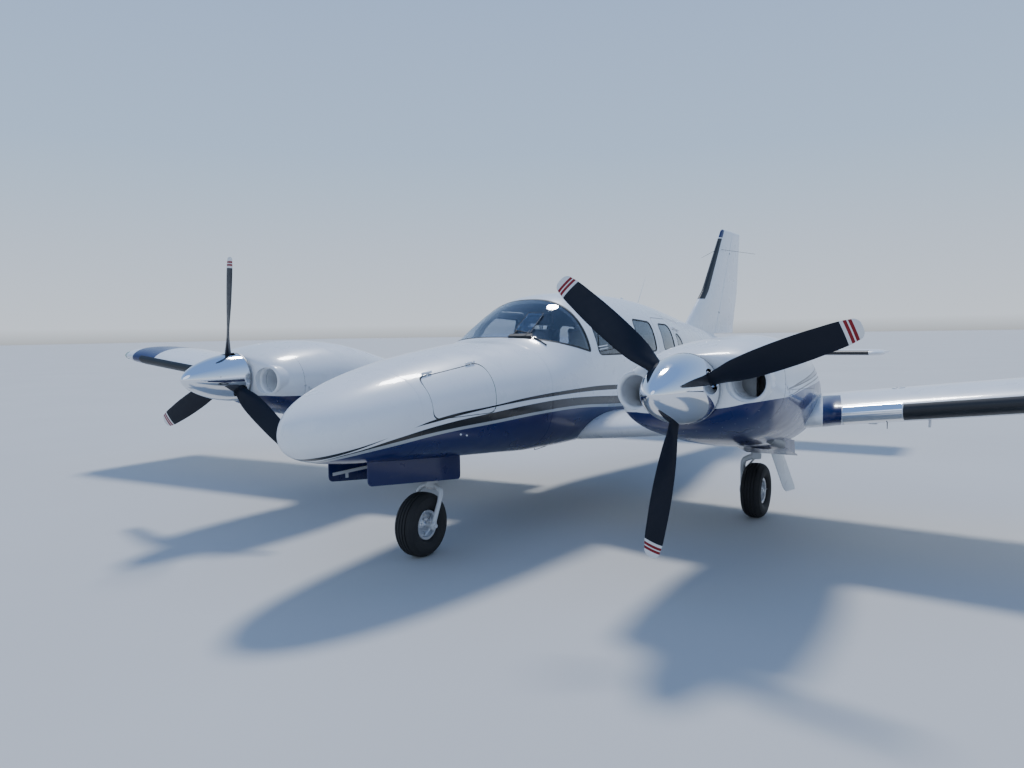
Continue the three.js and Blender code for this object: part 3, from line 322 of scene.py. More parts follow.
class Shell:

    def __init__(self, rows, centreX=0.0, cant=0.0):
        self.first = rows[0][0]
        self.centreX, self.cant = centreX, cant
        places = [math.sqrt(row[0] - self.first) for row in rows]
        self.columns = [curveThrough(places, [row[k] for row in rows]) for k in range(1, 7)]

    def sizes(self, station):
        place = math.sqrt(max(station - self.first, 0))
        return [column(place) for column in self.columns]

    def ring(self, station, inset=0.0, count=128):
        half, top, bottom, waist, crown, belly = self.sizes(station)
        quarter = count // 4
        curves = []
        for reach, power in ((top - waist, crown), (bottom - waist, belly)):
            angle = np.linspace(0, math.pi / 2, 90)
            x = (half - inset) * np.cos(angle) ** (2 / power)
            z = (reach - math.copysign(inset, reach)) * np.sin(angle) ** (2 / power)
            run = np.concatenate(([0], np.cumsum(np.hypot(np.diff(x), np.diff(z)))))
            even = np.linspace(0, run[-1], quarter + 1)
            curves.append(list(zip(np.interp(even, run, x), waist + np.interp(even, run, z))))
        up, down = curves
        loop = up[:-1] + [(-x, z) for x, z in up[:0:-1]] + [(-x, z) for x, z in down[:-1]] + down[:0:-1]
        return [(self.centreX + x, station, z + self.cant * x) for x, z in loop]

    def side(self, station, z, inset=0.0):
        half, top, bottom, waist, crown, belly = self.sizes(station)
        reach, power = (top - waist, crown) if z >= waist else (waist - bottom, belly)
        share = min(1.0, abs(z - waist) / reach)
        return (half - inset) * (1 - share ** power) ** (1 / power)

    def topAt(self, station, x):
        half, top, bottom, waist, crown, belly = self.sizes(station)
        share = min(1.0, abs(x - self.centreX) / half)
        return waist + (top - waist) * (1 - share ** crown) ** (1 / crown) + self.cant * (x - self.centreX)

    def solid(self, name, stations, inset=0.0, count=128):
        return loft(name, [self.ring(s, inset, count) for s in stations])

    def layer(self, name, stations, outside, inside, count=128):
        return tubeLoft(name, [self.ring(s, outside, count) for s in stations],
                        [self.ring(s, inside, count) for s in stations])


def evenly(start, end, step):
    count = max(1, round((end - start) / step))
    return [start + (end - start) * i / count for i in range(count + 1)]


# Finishes: a Principled shader each, with patterns that read Object coordinates

def add(look, kind, inputs=None, **settings):
    node = look.node_tree.nodes.new("ShaderNode" + kind)
    for setting, value in settings.items():
        setattr(node, setting, value)
    for socket, value in (inputs or {}).items():
        if isinstance(value, bpy.types.NodeSocket):
            look.node_tree.links.new(value, node.inputs[socket])
        else:
            node.inputs[socket].default_value = value
    return node


def newLook(name, **values):
    look = bpy.data.materials.new(name)
    look.use_nodes = True
    shader = look.node_tree.nodes["Principled BSDF"]
    for socket, value in values.items():
        shader.inputs[socket.replace("_", " ")].default_value = value
    return look


def shaderOf(look):
    return look.node_tree.nodes["Principled BSDF"]


def feed(look, socket, output):
    look.node_tree.links.new(output, shaderOf(look).inputs[socket])


def placeIn(look):
    coordinates = add(look, "TexCoord").outputs["Object"]
    apart = add(look, "SeparateXYZ", {0: coordinates})
    return coordinates, apart.outputs[0], apart.outputs[1], apart.outputs[2]


def maths(look, operation, a, b=0.0):
    return add(look, "Math", {0: a, 1: b}, operation=operation).outputs[0]


def ramp(look, value, low, high, start=0.0, end=1.0):
    return add(look, "MapRange", {0: value, 1: low, 2: high, 3: start, 4: end}).outputs[0]


def mixed(look, share, a, b, way="MIX"):
    node = add(look, "Mix", data_type="RGBA", blend_type=way)
    for socket, value in ((0, share), (6, a), (7, b)):
        if isinstance(value, bpy.types.NodeSocket):
            look.node_tree.links.new(value, node.inputs[socket])
        else:
            node.inputs[socket].default_value = value
    return node.outputs[2]


def noise(look, coordinates, scale, detail=3.0, roughness=0.5):
    return add(look, "TexNoise", {"Vector": coordinates, "Scale": scale, "Detail": detail,
                                  "Roughness": roughness}).outputs[0]


def bumpFrom(look, height, strength, distance):
    node = add(look, "Bump", {"Height": height, "Strength": strength, "Distance": distance})
    feed(look, "Normal", node.outputs[0])


def stripeEdge(look, along, height, points, reach, low, high):
    node = add(look, "FloatCurve", {"Value": ramp(look, along, *reach)})
    curve = node.mapping.curves[0]
    spots = [((s - reach[0] + noseY) / (reach[1] - reach[0]), (z - low) / (high - low)) for s, z in points]
    curve.points[0].location, curve.points[1].location = spots[0], spots[-1]
    for spot in spots[1:-1]:
        curve.points.new(*spot)
    node.mapping.update()
    edge = ramp(look, node.outputs[0], 0, 1, low, high)
    return ramp(look, maths(look, "SUBTRACT", height, edge), -edgeSoftness, edgeSoftness)


edgeSoftness = 0.0006
paint = {"white": (0.80, 0.815, 0.835, 1), "blue": (0.0028, 0.009, 0.082, 1),
         "black": (0.006, 0.008, 0.011, 1), "silver": (0.40, 0.42, 0.43, 1),
         "roughness": 0.24, "coat": 0.55, "coatRoughness": 0.07}
engineX, propZ, nacelleCant = 1.910, 1.215, 0.1


def paintedSkin(name, colours):
    look = newLook(name, Coat_Weight=paint["coat"], Coat_Roughness=paint["coatRoughness"],
                   Specular_IOR_Level=0.3)
    coordinates, x, y, z = placeIn(look)
    colour = colours(look, x, y, z)
    cloudy = noise(look, coordinates, 1.7, 4.0)
    colour = mixed(look, ramp(look, cloudy, 0.3, 0.75, 0.0, 0.10), colour, (0.60, 0.61, 0.60, 1), "MULTIPLY")
    streaks = add(look, "Mapping", {"Vector": coordinates, "Scale": (14, 1.1, 5)})
    grime = noise(look, streaks.outputs[0], 3.0, 5.0, 0.62)
    low = ramp(look, z, 1.05, 0.62)
    colour = mixed(look, maths(look, "MULTIPLY", ramp(look, grime, 0.56, 0.78, 0.0, 0.22), low),
                   colour, (0.10, 0.09, 0.075, 1))
    feed(look, "Base Color", colour)
    feed(look, "Roughness", ramp(look, noise(look, coordinates, 6.0, 5.0), 0.3, 0.7,
                                 paint["roughness"], paint["roughness"] + 0.14))
    ripple = maths(look, "ADD", maths(look, "MULTIPLY", noise(look, coordinates, 420.0, 1.0), 0.5),
                   noise(look, coordinates, 3.2, 1.0))
    bumpFrom(look, ripple, 0.06, 0.0012)
    return look


# Edges of the body's stripes from above down, as (station, height)
bodyStripes = {
    "thin top": [(0.45, 0.935), (0.62, 0.978), (0.74, 1.008), (0.974, 1.039), (1.293, 1.058), (1.612, 1.082),
                 (1.919, 1.095), (2.273, 1.101), (2.642, 1.102), (2.977, 1.090), (3.8, 1.050), (4.8, 1.066),
                 (5.9, 1.150), (6.9, 1.256), (7.8, 1.334), (8.3, 1.36)],
    "thin bottom": [(0.45, 0.935), (0.62, 0.978), (0.768, 0.997), (1.075, 1.030), (1.534, 1.060),
                    (1.918, 1.068), (2.451, 1.069), (2.977, 1.051), (3.8, 1.014), (4.8, 1.036), (5.9, 1.128),
                    (6.9, 1.242), (7.8, 1.326), (8.3, 1.356)],
    "thick top": [(0.10, 0.79), (0.20, 0.846), (0.283, 0.869), (0.543, 0.931), (0.880, 0.982), (1.294, 1.012),
                  (1.802, 1.036), (2.104, 1.039), (2.489, 1.027), (2.981, 0.998), (3.8, 0.955), (4.8, 0.974),
                  (5.9, 1.078), (6.9, 1.206), (7.8, 1.290), (8.3, 1.32)],
    "thick bottom": [(0.10, 0.785), (0.225, 0.847), (0.551, 0.906), (0.887, 0.940), (1.302, 0.957),
                     (1.806, 0.973), (2.277, 0.972), (2.997, 0.929), (3.8, 0.888), (4.8, 0.910),
                     (5.9, 1.022), (6.9, 1.158), (7.8, 1.252), (8.3, 1.29)],
    "blue top": [(0.10, 0.745), (0.240, 0.830), (0.562, 0.884), (0.894, 0.920), (1.307, 0.936),
                 (1.810, 0.953), (2.281, 0.951), (3.052, 0.900), (3.8, 0.862), (4.8, 0.886), (5.9, 1.000),
                 (6.9, 1.138), (7.8, 1.236), (8.3, 1.28)],
}
stripeReach = {"ends": (noseY, noseY + 8.72), "low": 0.70, "high": 1.50}


def bodyColours(look, x, y, z):
    colour = paint["blue"]
    for edge, above in (("blue top", "silver"), ("thick bottom", "black"), ("thick top", "white"),
                        ("thin bottom", "black"), ("thin top", "white")):
        share = stripeEdge(look, y, z, bodyStripes[edge], stripeReach["ends"], stripeReach["low"],
                           stripeReach["high"])
        colour = mixed(look, share, colour, paint[above])
    return colour


# Edges on the engine nacelles: blue below, two dark lines round a silver band above it towards the back
nacelleStripes = {
    "blue top": [(1.166, 1.085), (1.185, 1.102), (1.230, 1.106), (1.394, 1.104), (1.548, 1.100),
                 (1.878, 1.117), (2.354, 1.126), (2.8, 1.124), (3.2, 1.102), (3.65, 1.03)],
    "line top": [(1.40, 1.103), (1.60, 1.109), (1.878, 1.134), (2.354, 1.157), (2.8, 1.164), (3.2, 1.142),
                 (3.65, 1.07)],
    "line bottom": [(1.40, 1.103), (1.60, 1.104), (1.878, 1.126), (2.354, 1.147), (2.8, 1.152), (3.2, 1.130),
                    (3.65, 1.06)],
    "band top": [(1.50, 1.145), (1.80, 1.166), (2.10, 1.191), (2.354, 1.213), (2.8, 1.242), (3.2, 1.248),
                 (3.65, 1.22)],
    "band bottom": [(1.50, 1.145), (1.80, 1.154), (2.10, 1.167), (2.354, 1.179), (2.8, 1.190), (3.2, 1.176),
                    (3.65, 1.13)],
}


def nacelleColours(look, x, y, z):
    out = maths(look, "SUBTRACT", maths(look, "ABSOLUTE", x), engineX)
    z = maths(look, "SUBTRACT", z, maths(look, "MULTIPLY", out, nacelleCant * 1.15))

    def above(edge, lift=0.0):
        points = [(s, h + lift) for s, h in nacelleStripes[edge]]
        points = [(0.0, points[0][1])] + points + [(8.72, points[-1][1])]
        return stripeEdge(look, y, z, points, stripeReach["ends"], stripeReach["low"], stripeReach["high"])

    behind = ramp(look, y, noseY + 1.52, noseY + 1.56)
    colour = mixed(look, above("blue top"), paint["blue"], paint["white"])
    for low, high, tone in (("line bottom", "line top", "black"), ("band bottom", "band top", "silver")):
        inside = maths(look, "MULTIPLY", above(low), maths(look, "SUBTRACT", 1.0, above(high)))
        colour = mixed(look, maths(look, "MULTIPLY", inside, behind), colour, paint[tone])
    for edge in ("band bottom", "band top"):
        inside = maths(look, "MULTIPLY", above(edge, -0.004),
                       maths(look, "SUBTRACT", 1.0, above(edge, 0.004)))
        colour = mixed(look, maths(look, "MULTIPLY", inside, behind), colour, paint["black"])
    return colour


# Blue on the wing: a patch round the leading edge beside each nacelle, and a slanting band before the tip
wingBlue = {"patch": (2.372, 2.490), "patchBack": 2.78, "band": (5.18, 5.60), "bandFrom": 2.50,
            "bandSlant": 0.42}


def wingColours(look, x, y, z):
    out = maths(look, "ABSOLUTE", x)
    aft = maths(look, "SUBTRACT", y, noseY + wingBlue["bandFrom"])

    def between(value, low, high):
        return maths(look, "MULTIPLY",
                     ramp(look, maths(look, "SUBTRACT", value, low), -edgeSoftness, edgeSoftness),
                     ramp(look, maths(look, "SUBTRACT", value, high), edgeSoftness, -edgeSoftness))
    patch = maths(look, "MULTIPLY", between(maths(look, "SUBTRACT", out, maths(look, "MULTIPLY", aft, -0.2)),
                                            *wingBlue["patch"]),
                  ramp(look, y, noseY + wingBlue["patchBack"] + edgeSoftness, noseY + wingBlue["patchBack"]))
    slanted = maths(look, "SUBTRACT", out, maths(look, "MULTIPLY", aft, wingBlue["bandSlant"]))
    colour = mixed(look, patch, paint["white"], paint["blue"])
    return mixed(look, between(slanted, *wingBlue["band"]), colour, paint["blue"])


def plainColour(tone):
    return lambda look, x, y, z: mixed(look, 1.0, paint[tone], paint[tone])


bodyPaint = paintedSkin("stripedBodyPaint", bodyColours)
nacellePaint = paintedSkin("nacellePaint", nacelleColours)
wingPaint = paintedSkin("wingPaint", wingColours)
whitePaint = paintedSkin("whitePaint", plainColour("white"))
bluePaint = paintedSkin("bluePaint", plainColour("blue"))


def polishedMetal():
    look = newLook("polishedMetal", Metallic=1.0, Base_Color=(0.86, 0.87, 0.89, 1))
    coordinates = placeIn(look)[0]
    feed(look, "Roughness", ramp(look, noise(look, coordinates, 16.0, 6.0, 0.65), 0.35, 0.8, 0.035, 0.13))
    bumpFrom(look, noise(look, coordinates, 60.0, 2.0), 0.03, 0.001)
    return look


def brushedMetal(name, colour, roughness):
    look = newLook(name, Metallic=1.0, Base_Color=colour)
    coordinates = placeIn(look)[0]
    feed(look, "Roughness",
         ramp(look, noise(look, coordinates, 55.0, 6.0, 0.6), 0.3, 0.8, roughness, roughness + 0.2))
    bumpFrom(look, noise(look, coordinates, 190.0, 3.0), 0.12, 0.001)
    return look


def grained(name, colour, other, roughness, scale, strength=0.25, depth=0.0006, share=0.5):
    look = newLook(name)
    coordinates = placeIn(look)[0]
    fine = noise(look, coordinates, scale, 4.0, 0.6)
    broad = noise(look, coordinates, 4.0, 3.0)
    feed(look, "Base Color", mixed(look, maths(look, "MULTIPLY", broad, share), colour, other))
    feed(look, "Roughness", ramp(look, fine, 0.3, 0.7, roughness - 0.06, roughness + 0.08))
    bumpFrom(look, fine, strength, depth)
    return look


def tintedGlass():
    look = newLook("tintedGlass", Base_Color=(0.60, 0.66, 0.74, 1), Roughness=0.03, IOR=1.45,
                   Transmission_Weight=1.0, Coat_Weight=0.3)
    coordinates = placeIn(look)[0]
    bumpFrom(look, noise(look, coordinates, 3.0, 2.0), 0.05, 0.002)
    return look


def hideLook():
    look = newLook("seatHide", Sheen_Weight=0.15)
    coordinates = placeIn(look)[0]
    cells = add(look, "TexVoronoi", {"Vector": coordinates, "Scale": 420.0},
                feature="DISTANCE_TO_EDGE").outputs[0]
    broad = noise(look, coordinates, 9.0, 4.0)
    feed(look, "Base Color",
         mixed(look, ramp(look, broad, 0.3, 0.7), (0.27, 0.225, 0.17, 1), (0.36, 0.31, 0.245, 1)))
    feed(look, "Roughness", ramp(look, broad, 0.3, 0.7, 0.42, 0.6))
    bumpFrom(look, ramp(look, cells, 0.0, 0.12), 0.35, 0.0008)
    return look


def bladePaint():
    look = newLook("bladePaint", Specular_IOR_Level=0.2, Coat_Weight=0.05, Coat_Roughness=0.25)
    coordinates, x, y, z = placeIn(look)
    out = maths(look, "SUBTRACT", maths(look, "ABSOLUTE", x), engineX)
    up = maths(look, "SUBTRACT", z, propZ)
    reach = maths(look, "SQRT",
                  maths(look, "ADD", maths(look, "MULTIPLY", out, out), maths(look, "MULTIPLY", up, up)))
    colour = mixed(look, noise(look, coordinates, 5.0, 4.0), (0.0035, 0.0055, 0.0125, 1),
                   (0.006, 0.009, 0.019, 1))
    for start, tone in bladeBands:
        share = ramp(look, maths(look, "SUBTRACT", reach, start), -edgeSoftness, edgeSoftness)
        colour = mixed(look, share, colour, tone)
    chips = noise(look, coordinates, 130.0, 6.0, 0.7)
    feed(look, "Base Color",
         mixed(look, ramp(look, chips, 0.70, 0.74, 0.0, 0.5), colour, (0.25, 0.25, 0.26, 1)))
    feed(look, "Roughness", ramp(look, noise(look, coordinates, 30.0, 5.0), 0.3, 0.7, 0.36, 0.50))
    bumpFrom(look, chips, 0.06, 0.0006)
    return look


bandWhite, bandRed = (0.72, 0.72, 0.72, 1), (0.23, 0.012, 0.018, 1)
# Bands at the blade tips, each from its own radius outwards
bladeBands = [(0.878, bandWhite), (0.894, bandRed), (0.910, bandWhite), (0.917, bandRed), (0.933, bandWhite)]

chrome = polishedMetal()
bladeLook = bladePaint()
glassLook = tintedGlass()
seatHide = hideLook()
steel = brushedMetal("brushedSteel", (0.62, 0.63, 0.65, 1), 0.24)
castMetal = brushedMetal("castMetal", (0.30, 0.31, 0.32, 1), 0.42)
wheelLook = brushedMetal("silverWheel", (0.70, 0.71, 0.73, 1), 0.30)
tyreRubber = grained("tyreRubber", (0.012, 0.012, 0.013, 1), (0.045, 0.042, 0.038, 1), 0.78, 210.0, 0.4)
bootRubber = grained("bootRubber", (0.008, 0.009, 0.011, 1), (0.022, 0.024, 0.028, 1), 0.46, 160.0, 0.2)
sealRubber = grained("sealRubber", (0.010, 0.010, 0.011, 1), (0.025, 0.025, 0.026, 1), 0.6, 300.0)
darkPlastic = grained("panelPlastic", (0.018, 0.019, 0.021, 1), (0.035, 0.036, 0.040, 1), 0.62, 500.0, 0.35)
linerCloth = grained("linerCloth", (0.46, 0.44, 0.41, 1), (0.56, 0.54, 0.50, 1), 0.8, 700.0, 0.3)
carpet = grained("carpet", (0.055, 0.060, 0.075, 1), (0.10, 0.105, 0.12, 1), 0.92, 900.0, 0.8, 0.002)
primerGreen = grained("wellPrimer", (0.20, 0.23, 0.16, 1), (0.12, 0.13, 0.10, 1), 0.6, 60.0)
print("finishes made")


# The body's sections: station, half width, top, bottom, height of the widest line, crown power, belly power
bodyRows = [
    (0, 0.030, 0.985, 0.925, 0.955, 2.0, 2.0),
    (0.030, 0.112, 1.062, 0.862, 0.955, 2.0, 2.0),
    (0.120, 0.208, 1.140, 0.815, 0.965, 2.05, 2.1),
    (0.300, 0.315, 1.220, 0.775, 0.990, 2.1, 2.2),
    (0.680, 0.436, 1.322, 0.735, 1.035, 2.2, 2.4),
    (1.200, 0.530, 1.408, 0.690, 1.070, 2.3, 2.6),
    (1.700, 0.588, 1.462, 0.650, 1.090, 2.4, 2.8),
    (2.060, 0.615, 1.497, 0.622, 1.100, 2.5, 3.0),
    (2.200, 0.622, 1.562, 0.615, 1.105, 2.45, 3.0),
    (2.400, 0.630, 1.690, 0.608, 1.110, 2.4, 3.0),
    (2.640, 0.637, 1.815, 0.602, 1.115, 2.4, 3.0),
    (2.900, 0.642, 1.868, 0.600, 1.120, 2.5, 3.0),
    (3.350, 0.645, 1.890, 0.600, 1.125, 2.6, 3.0),
    (3.900, 0.640, 1.876, 0.602, 1.125, 2.6, 3.0),
    (4.500, 0.606, 1.835, 0.628, 1.125, 2.5, 2.9),
    (5.060, 0.532, 1.770, 0.692, 1.130, 2.4, 2.7),
    (5.900, 0.400, 1.665, 0.830, 1.160, 2.2, 2.4),
    (6.900, 0.262, 1.532, 0.985, 1.205, 2.1, 2.2),
    (7.800, 0.140, 1.414, 1.108, 1.245, 2.0, 2.1),
    (8.150, 0.088, 1.380, 1.160, 1.265, 2.0, 2.0),
    (8.300, 0.040, 1.365, 1.235, 1.290, 2.0, 2.0),
]
body = Shell(bodyRows)
body.seams = {"cone": 0.680, "nose": 1.960, "cabin": 5.060, "end": 8.300}
cabin = {"front": 2.050, "back": 4.960, "floor": 0.800, "wall": 0.036, "step": 0.026}
seam = {"gap": 0.0016, "run": 0.003}
noseWell = {"half": 0.160, "front": 0.460, "back": 1.475, "top": 0.985}
reachOut = 0.9  # past the widest part of the body


def seamed(start, end, step, startSeam=True, endSeam=True):
    stations = evenly(start, end, step)
    rings = [body.ring(s) for s in stations[1:-1]]
    head = [body.ring(start, seam["gap"]),
            body.ring(start + seam["run"])] if startSeam else [body.ring(start)]
    tail = [body.ring(end - seam["run"]), body.ring(end, seam["gap"])] if endSeam else [body.ring(end)]
    return head + rings + tail


def rootStations(start, end, count):
    return [(math.sqrt(start) + (math.sqrt(end) - math.sqrt(start)) * i / count) ** 2
            for i in range(count + 1)]


def sidewaysPrism(name, outline, side, near=0.06):
    x0, x1 = (near, reachOut) if side > 0 else (-reachOut, -near)
    return sidePrism(name, outline, x0, x1)


windshieldEdge = [(2.060, 1.505), (2.150, 1.478), (2.590, 1.372), (2.612, 1.600), (2.665, 1.900),
                  (2.300, 1.960), (2.040, 1.660)]
windows = {
    1: [(2.705, 1.345), (3.330, 1.335), (3.335, 1.560), (3.290, 1.665), (2.790, 1.690), (2.715, 1.560)],
    2: [(3.500, 1.342), (3.925, 1.342), (3.925, 1.625), (3.540, 1.650), (3.500, 1.600)],
    3: [(4.120, 1.345), (4.490, 1.345), (4.480, 1.560), (4.420, 1.600), (4.120, 1.610)],
    4: [(4.625, 1.340), (4.860, 1.335), (4.830, 1.440), (4.740, 1.500), (4.625, 1.510)],
}
doors = {
    "baggage_door": {"edge": [(0.755, 1.010), (1.310, 1.010), (1.330, 1.345), (0.755, 1.268)], "side": 1,
                     "hinge": [(0.800, 1.277), (1.290, 1.338)], "top": True},
    "front_door": {"edge": [(2.665, 0.985), (3.400, 0.985), (3.400, 1.640), (3.340, 1.725), (2.760, 1.735),
                            (2.680, 1.600)], "side": -1, "hinge": [(2.668, 1.040), (2.668, 1.330)],
                   "top": False},
    "rear_door": {"edge": [(3.990, 0.870), (4.545, 0.880), (4.545, 1.580), (4.480, 1.655), (3.990, 1.665)],
                  "side": 1, "hinge": [(3.993, 1.000), (3.993, 1.330)], "top": False},
    "cargo_door": {"edge": [(4.570, 0.890), (4.925, 0.930), (4.900, 1.440), (4.780, 1.530), (4.570, 1.560)],
                   "side": 1, "hinge": [(4.610, 1.555), (4.770, 1.531)], "top": True},
}
door = {"corner": 0.055, "leafCorner": 0.070, "skin": 0.004, "gap": 0.0045, "pan": 0.026, "panGap": 0.019,
        "panCorner": 0.075, "noseWall": 0.026}
pane = {"corner": 0.060, "deep": 0.003, "thick": 0.005, "seal": 0.010, "sealProud": 0.0015}
doorOfWindow = {("right", 1): "front_door", ("left", 3): "rear_door", ("left", 4): "cargo_door"}


def doorHole(name):
    return sidewaysPrism(name + " hole", rounded(doors[name]["edge"], door["corner"]), doors[name]["side"])


def doorLeaf(name, stations, wall, holes):
    edge, side = doors[name]["edge"], doors[name]["side"]
    skin = body.layer(name, stations, 0.0, door["skin"])
    leafEdge = drawnIn(rounded(edge, door["leafCorner"]), door["gap"])
    carve(skin, sidewaysPrism("leaf edge", leafEdge, side), how="INTERSECT")
    pan = body.layer("pan", stations, door["skin"] - 0.001, min(wall, door["skin"] + door["pan"]), 96)
    panEdge = drawnIn(rounded(edge, door["panCorner"]), door["panGap"])
    carve(pan, sidewaysPrism("pan edge", panEdge, side), how="INTERSECT")
    carve(skin, pan, how="UNION")
    for number in holes:
        carve(skin, sidewaysPrism("window hole", rounded(windows[number], pane["corner"]), side))
    return skin


def bodyShells():
    well = box("well", -noseWell["half"], noseWell["half"], noseWell["front"], noseWell["back"], 0.3,
               noseWell["top"])
    cone = loft("cone", [body.ring(s) for s in rootStations(0.0, 0.670, 46)]
                + [body.ring(body.seams["cone"] - seam["run"]), body.ring(body.seams["cone"], seam["gap"])])
    carve(cone, well, keep=True)
    fit(cone, "noseCone", "airframe", bodyPaint, "nose_cone", weighted=True)

    nose = loft("nose", seamed(body.seams["cone"], body.seams["nose"], 0.026))
    bay = body.solid("bay", evenly(0.60, 1.40, 0.04), door["noseWall"], 96)
    carve(bay, box("bay box", -0.45, 0.70, 0.735, 1.350, 1.020, 1.500), how="INTERSECT")
    carve(nose, well)
    carve(nose, bay)
    carve(nose, doorHole("baggage_door"))
    fit(nose, "noseSection", "airframe", [bodyPaint, primerGreen], "nose_section",
        weighted=True)
    paintFaces(nose, 1, lambda x, s, z, n: insideBody(x, s, z, 0.012))

    stations = evenly(body.seams["nose"], body.seams["cabin"], cabin["step"])
    shell = loft("cabin", seamed(body.seams["nose"], body.seams["cabin"], cabin["step"]))
    room = body.solid("room", evenly(1.95, 5.05, 0.05), cabin["wall"], 96)
    carve(room, box("room box", -0.9, 0.9, cabin["front"], cabin["back"], cabin["floor"], 2.2),
          how="INTERSECT")
    carve(shell, room)
    carve(shell, sidePrism("windshield hole", rounded(windshieldEdge, 0.030), -reachOut, reachOut))
    for name in ("front_door", "rear_door", "cargo_door"):
        carve(shell, doorHole(name))
    for hand, side in sides.items():
        for number, corners in windows.items():
            if (hand, number) not in doorOfWindow:
                carve(shell, sidewaysPrism("window hole", rounded(corners, pane["corner"]), side))
    fit(shell, "cabinShell", "airframe", [bodyPaint, linerCloth, carpet], "cabin_shell",
        weighted=True)
    paintFaces(shell, 1, lambda x, s, z, n: insideBody(x, s, z, 0.016))
    paintFaces(shell, 2, lambda x, s, z, n: insideBody(x, s, z, 0.03) and z < cabin["floor"] + 0.002)

    tail = loft("tail", seamed(body.seams["cabin"], body.seams["end"], 0.04, endSeam=False))
    carve(tail, box("slot", -0.4, 0.4, 7.966, 8.5, 0.9, 1.316))
    carve(tail, box("pivot block", -0.026, 0.026, 7.940, 8.100, 1.182, 1.238), how="UNION")
    carve(tail, rod("pivot boss", (-0.026, 8.100, 1.210), (0.026, 8.100, 1.210), 0.028), how="UNION")
    carve(tail, rod("pivot bore", (-0.06, 8.100, 1.210), (0.06, 8.100, 1.210), 0.0104))
    fit(tail, "tailCone", "airframe", bodyPaint, "tail_cone", weighted=True)
    return stations


def insideBody(x, s, z, depth):
    half, top, bottom, waist, crown, belly = body.sizes(s)
    reach, power = (top - waist, crown) if z >= waist else (waist - bottom, belly)
    share = (abs(x) / max(half - depth, 0.01)) ** power + (abs(z - waist) / max(reach - depth, 0.01)) ** power
    return share < 1


# Door hinges: knuckles on a pin line outside the skin, each with its foot
hinge = {"proud": 0.014, "knuckle": 0.026, "radius": 0.008, "foot": 0.0055, "side": 0.024, "deep": 0.026,
         "places": (0.1, 0.9), "play": 0.0006}


def hingeLine(name):
    side = doors[name]["side"]
    ends = []
    for s, z in doors[name]["hinge"]:
        slope = (body.side(s, z + 0.005) - body.side(s, z - 0.005)) / 0.010
        out = Vector((side, 0, -slope)).normalized()
        toDoor = Vector((-side * slope, 0, -1)).normalized() if doors[name]["top"] else Vector((0, 1, 0))
        ends.append((Vector((side * body.side(s, z), s, z)) + out * hinge["proud"], out, toDoor))
    (a, outA, wayA), (b, outB, wayB) = ends
    return a, b, (outA + outB).normalized(), (wayA + wayB).normalized()


def doorHinges(name):
    a, b, out, toDoor = hingeLine(name)
    along = (b - a).normalized()
    fixed, moving = [], []
    for place in hinge["places"]:
        middle = a.lerp(b, place)
        for step in (-1, 0, 1):
            centre = middle + along * step * (hinge["knuckle"] + hinge["play"])
            ends = [centre + along * way * hinge["knuckle"] / 2 for way in (-1, 1)]
            way = 1 if step == 0 else -1
            foot = centre + toDoor * way * hinge["side"] - out * hinge["deep"]
            pieces = moving if step == 0 else fixed
            pieces.append(rod("knuckle", ends[0], ends[1], hinge["radius"], count=20, soft=0.001))
            pieces.append(rod("foot", centre, foot, hinge["foot"], count=12))
    return fixed, moving


def doorsAndWindows(stations):
    frameHinges = []
    noseStations = evenly(body.seams["cone"], body.seams["nose"], 0.03)
    for name in doors:
        wall = door["noseWall"] if name == "baggage_door" else cabin["wall"]
        holes = [n for (hand, n), owner in doorOfWindow.items() if owner == name]
        leaf = doorLeaf(name, noseStations if name == "baggage_door" else stations, wall, holes)
        fixed, moving = doorHinges(name)
        frameHinges += fixed
        leaf = joined(name, [leaf] + moving)
        fit(leaf, name.replace("_door", "Door"), name, [bodyPaint, linerCloth], name,
            weighted=True)
        paintFaces(leaf, 1, lambda x, s, z, n: insideBody(x, s, z, door["skin"] + 0.004))
    hinges = joined("hinges", frameHinges)
    fit(hinges, "doorHinges", "airframe", bodyPaint)

    for hand, side in sides.items():
        for number, corners in windows.items():
            owner = doorOfWindow.get((hand, number), "airframe")
            hole = rounded(corners, pane["corner"])
            glass = body.layer("pane", stations, pane["deep"], pane["deep"] + pane["thick"])
            carve(glass, sidewaysPrism("pane edge", drawnIn(hole, 0.0015), side), how="INTERSECT")
            fit(glass, f"window_{hand}_{number}_pane", owner, glassLook,
                f"window_{hand}_{number}")
            strip = body.layer("seal", stations, -pane["sealProud"], pane["deep"] + pane["thick"] + 0.004)
            carve(strip, sidewaysPrism("seal edge", drawnIn(hole, -0.0015), side), how="INTERSECT")
            carve(strip, sidewaysPrism("seal hole", drawnIn(hole, pane["seal"]), side))
            fit(strip, f"window_{hand}_{number}_seal", owner, sealRubber)

    edge = rounded(windshieldEdge, 0.030)
    screen = body.layer("screen", stations, 0.002, 0.009)
    carve(screen, sidePrism("screen edge", drawnIn(edge, 0.0015), -reachOut, reachOut), how="INTERSECT")
    fit(screen, "windshieldPane", "airframe", glassLook, "windshield")
    strip = body.layer("seal", stations, -0.002, 0.012)
    carve(strip, sidePrism("seal edge", drawnIn(edge, -0.002), -reachOut, reachOut), how="INTERSECT")
    carve(strip, sidePrism("seal hole", drawnIn(edge, 0.014), -reachOut, reachOut))
    fit(strip, "windshieldSeal", "airframe", sealRubber)


stationsOfCabin = bodyShells()
doorsAndWindows(stationsOfCabin)
print("body, doors and windows made")


# Wings. The section is that of the outer panel, stretched ahead of its thickest point
wing = {"chord": 1.600, "front": 2.500, "thick": 0.14, "camber": 0.02, "stretch": 3.140, "rootX": 0.650,
        "rootZ": 0.752, "dihedral": 0.113, "incidence": 0.035, "points": 36}
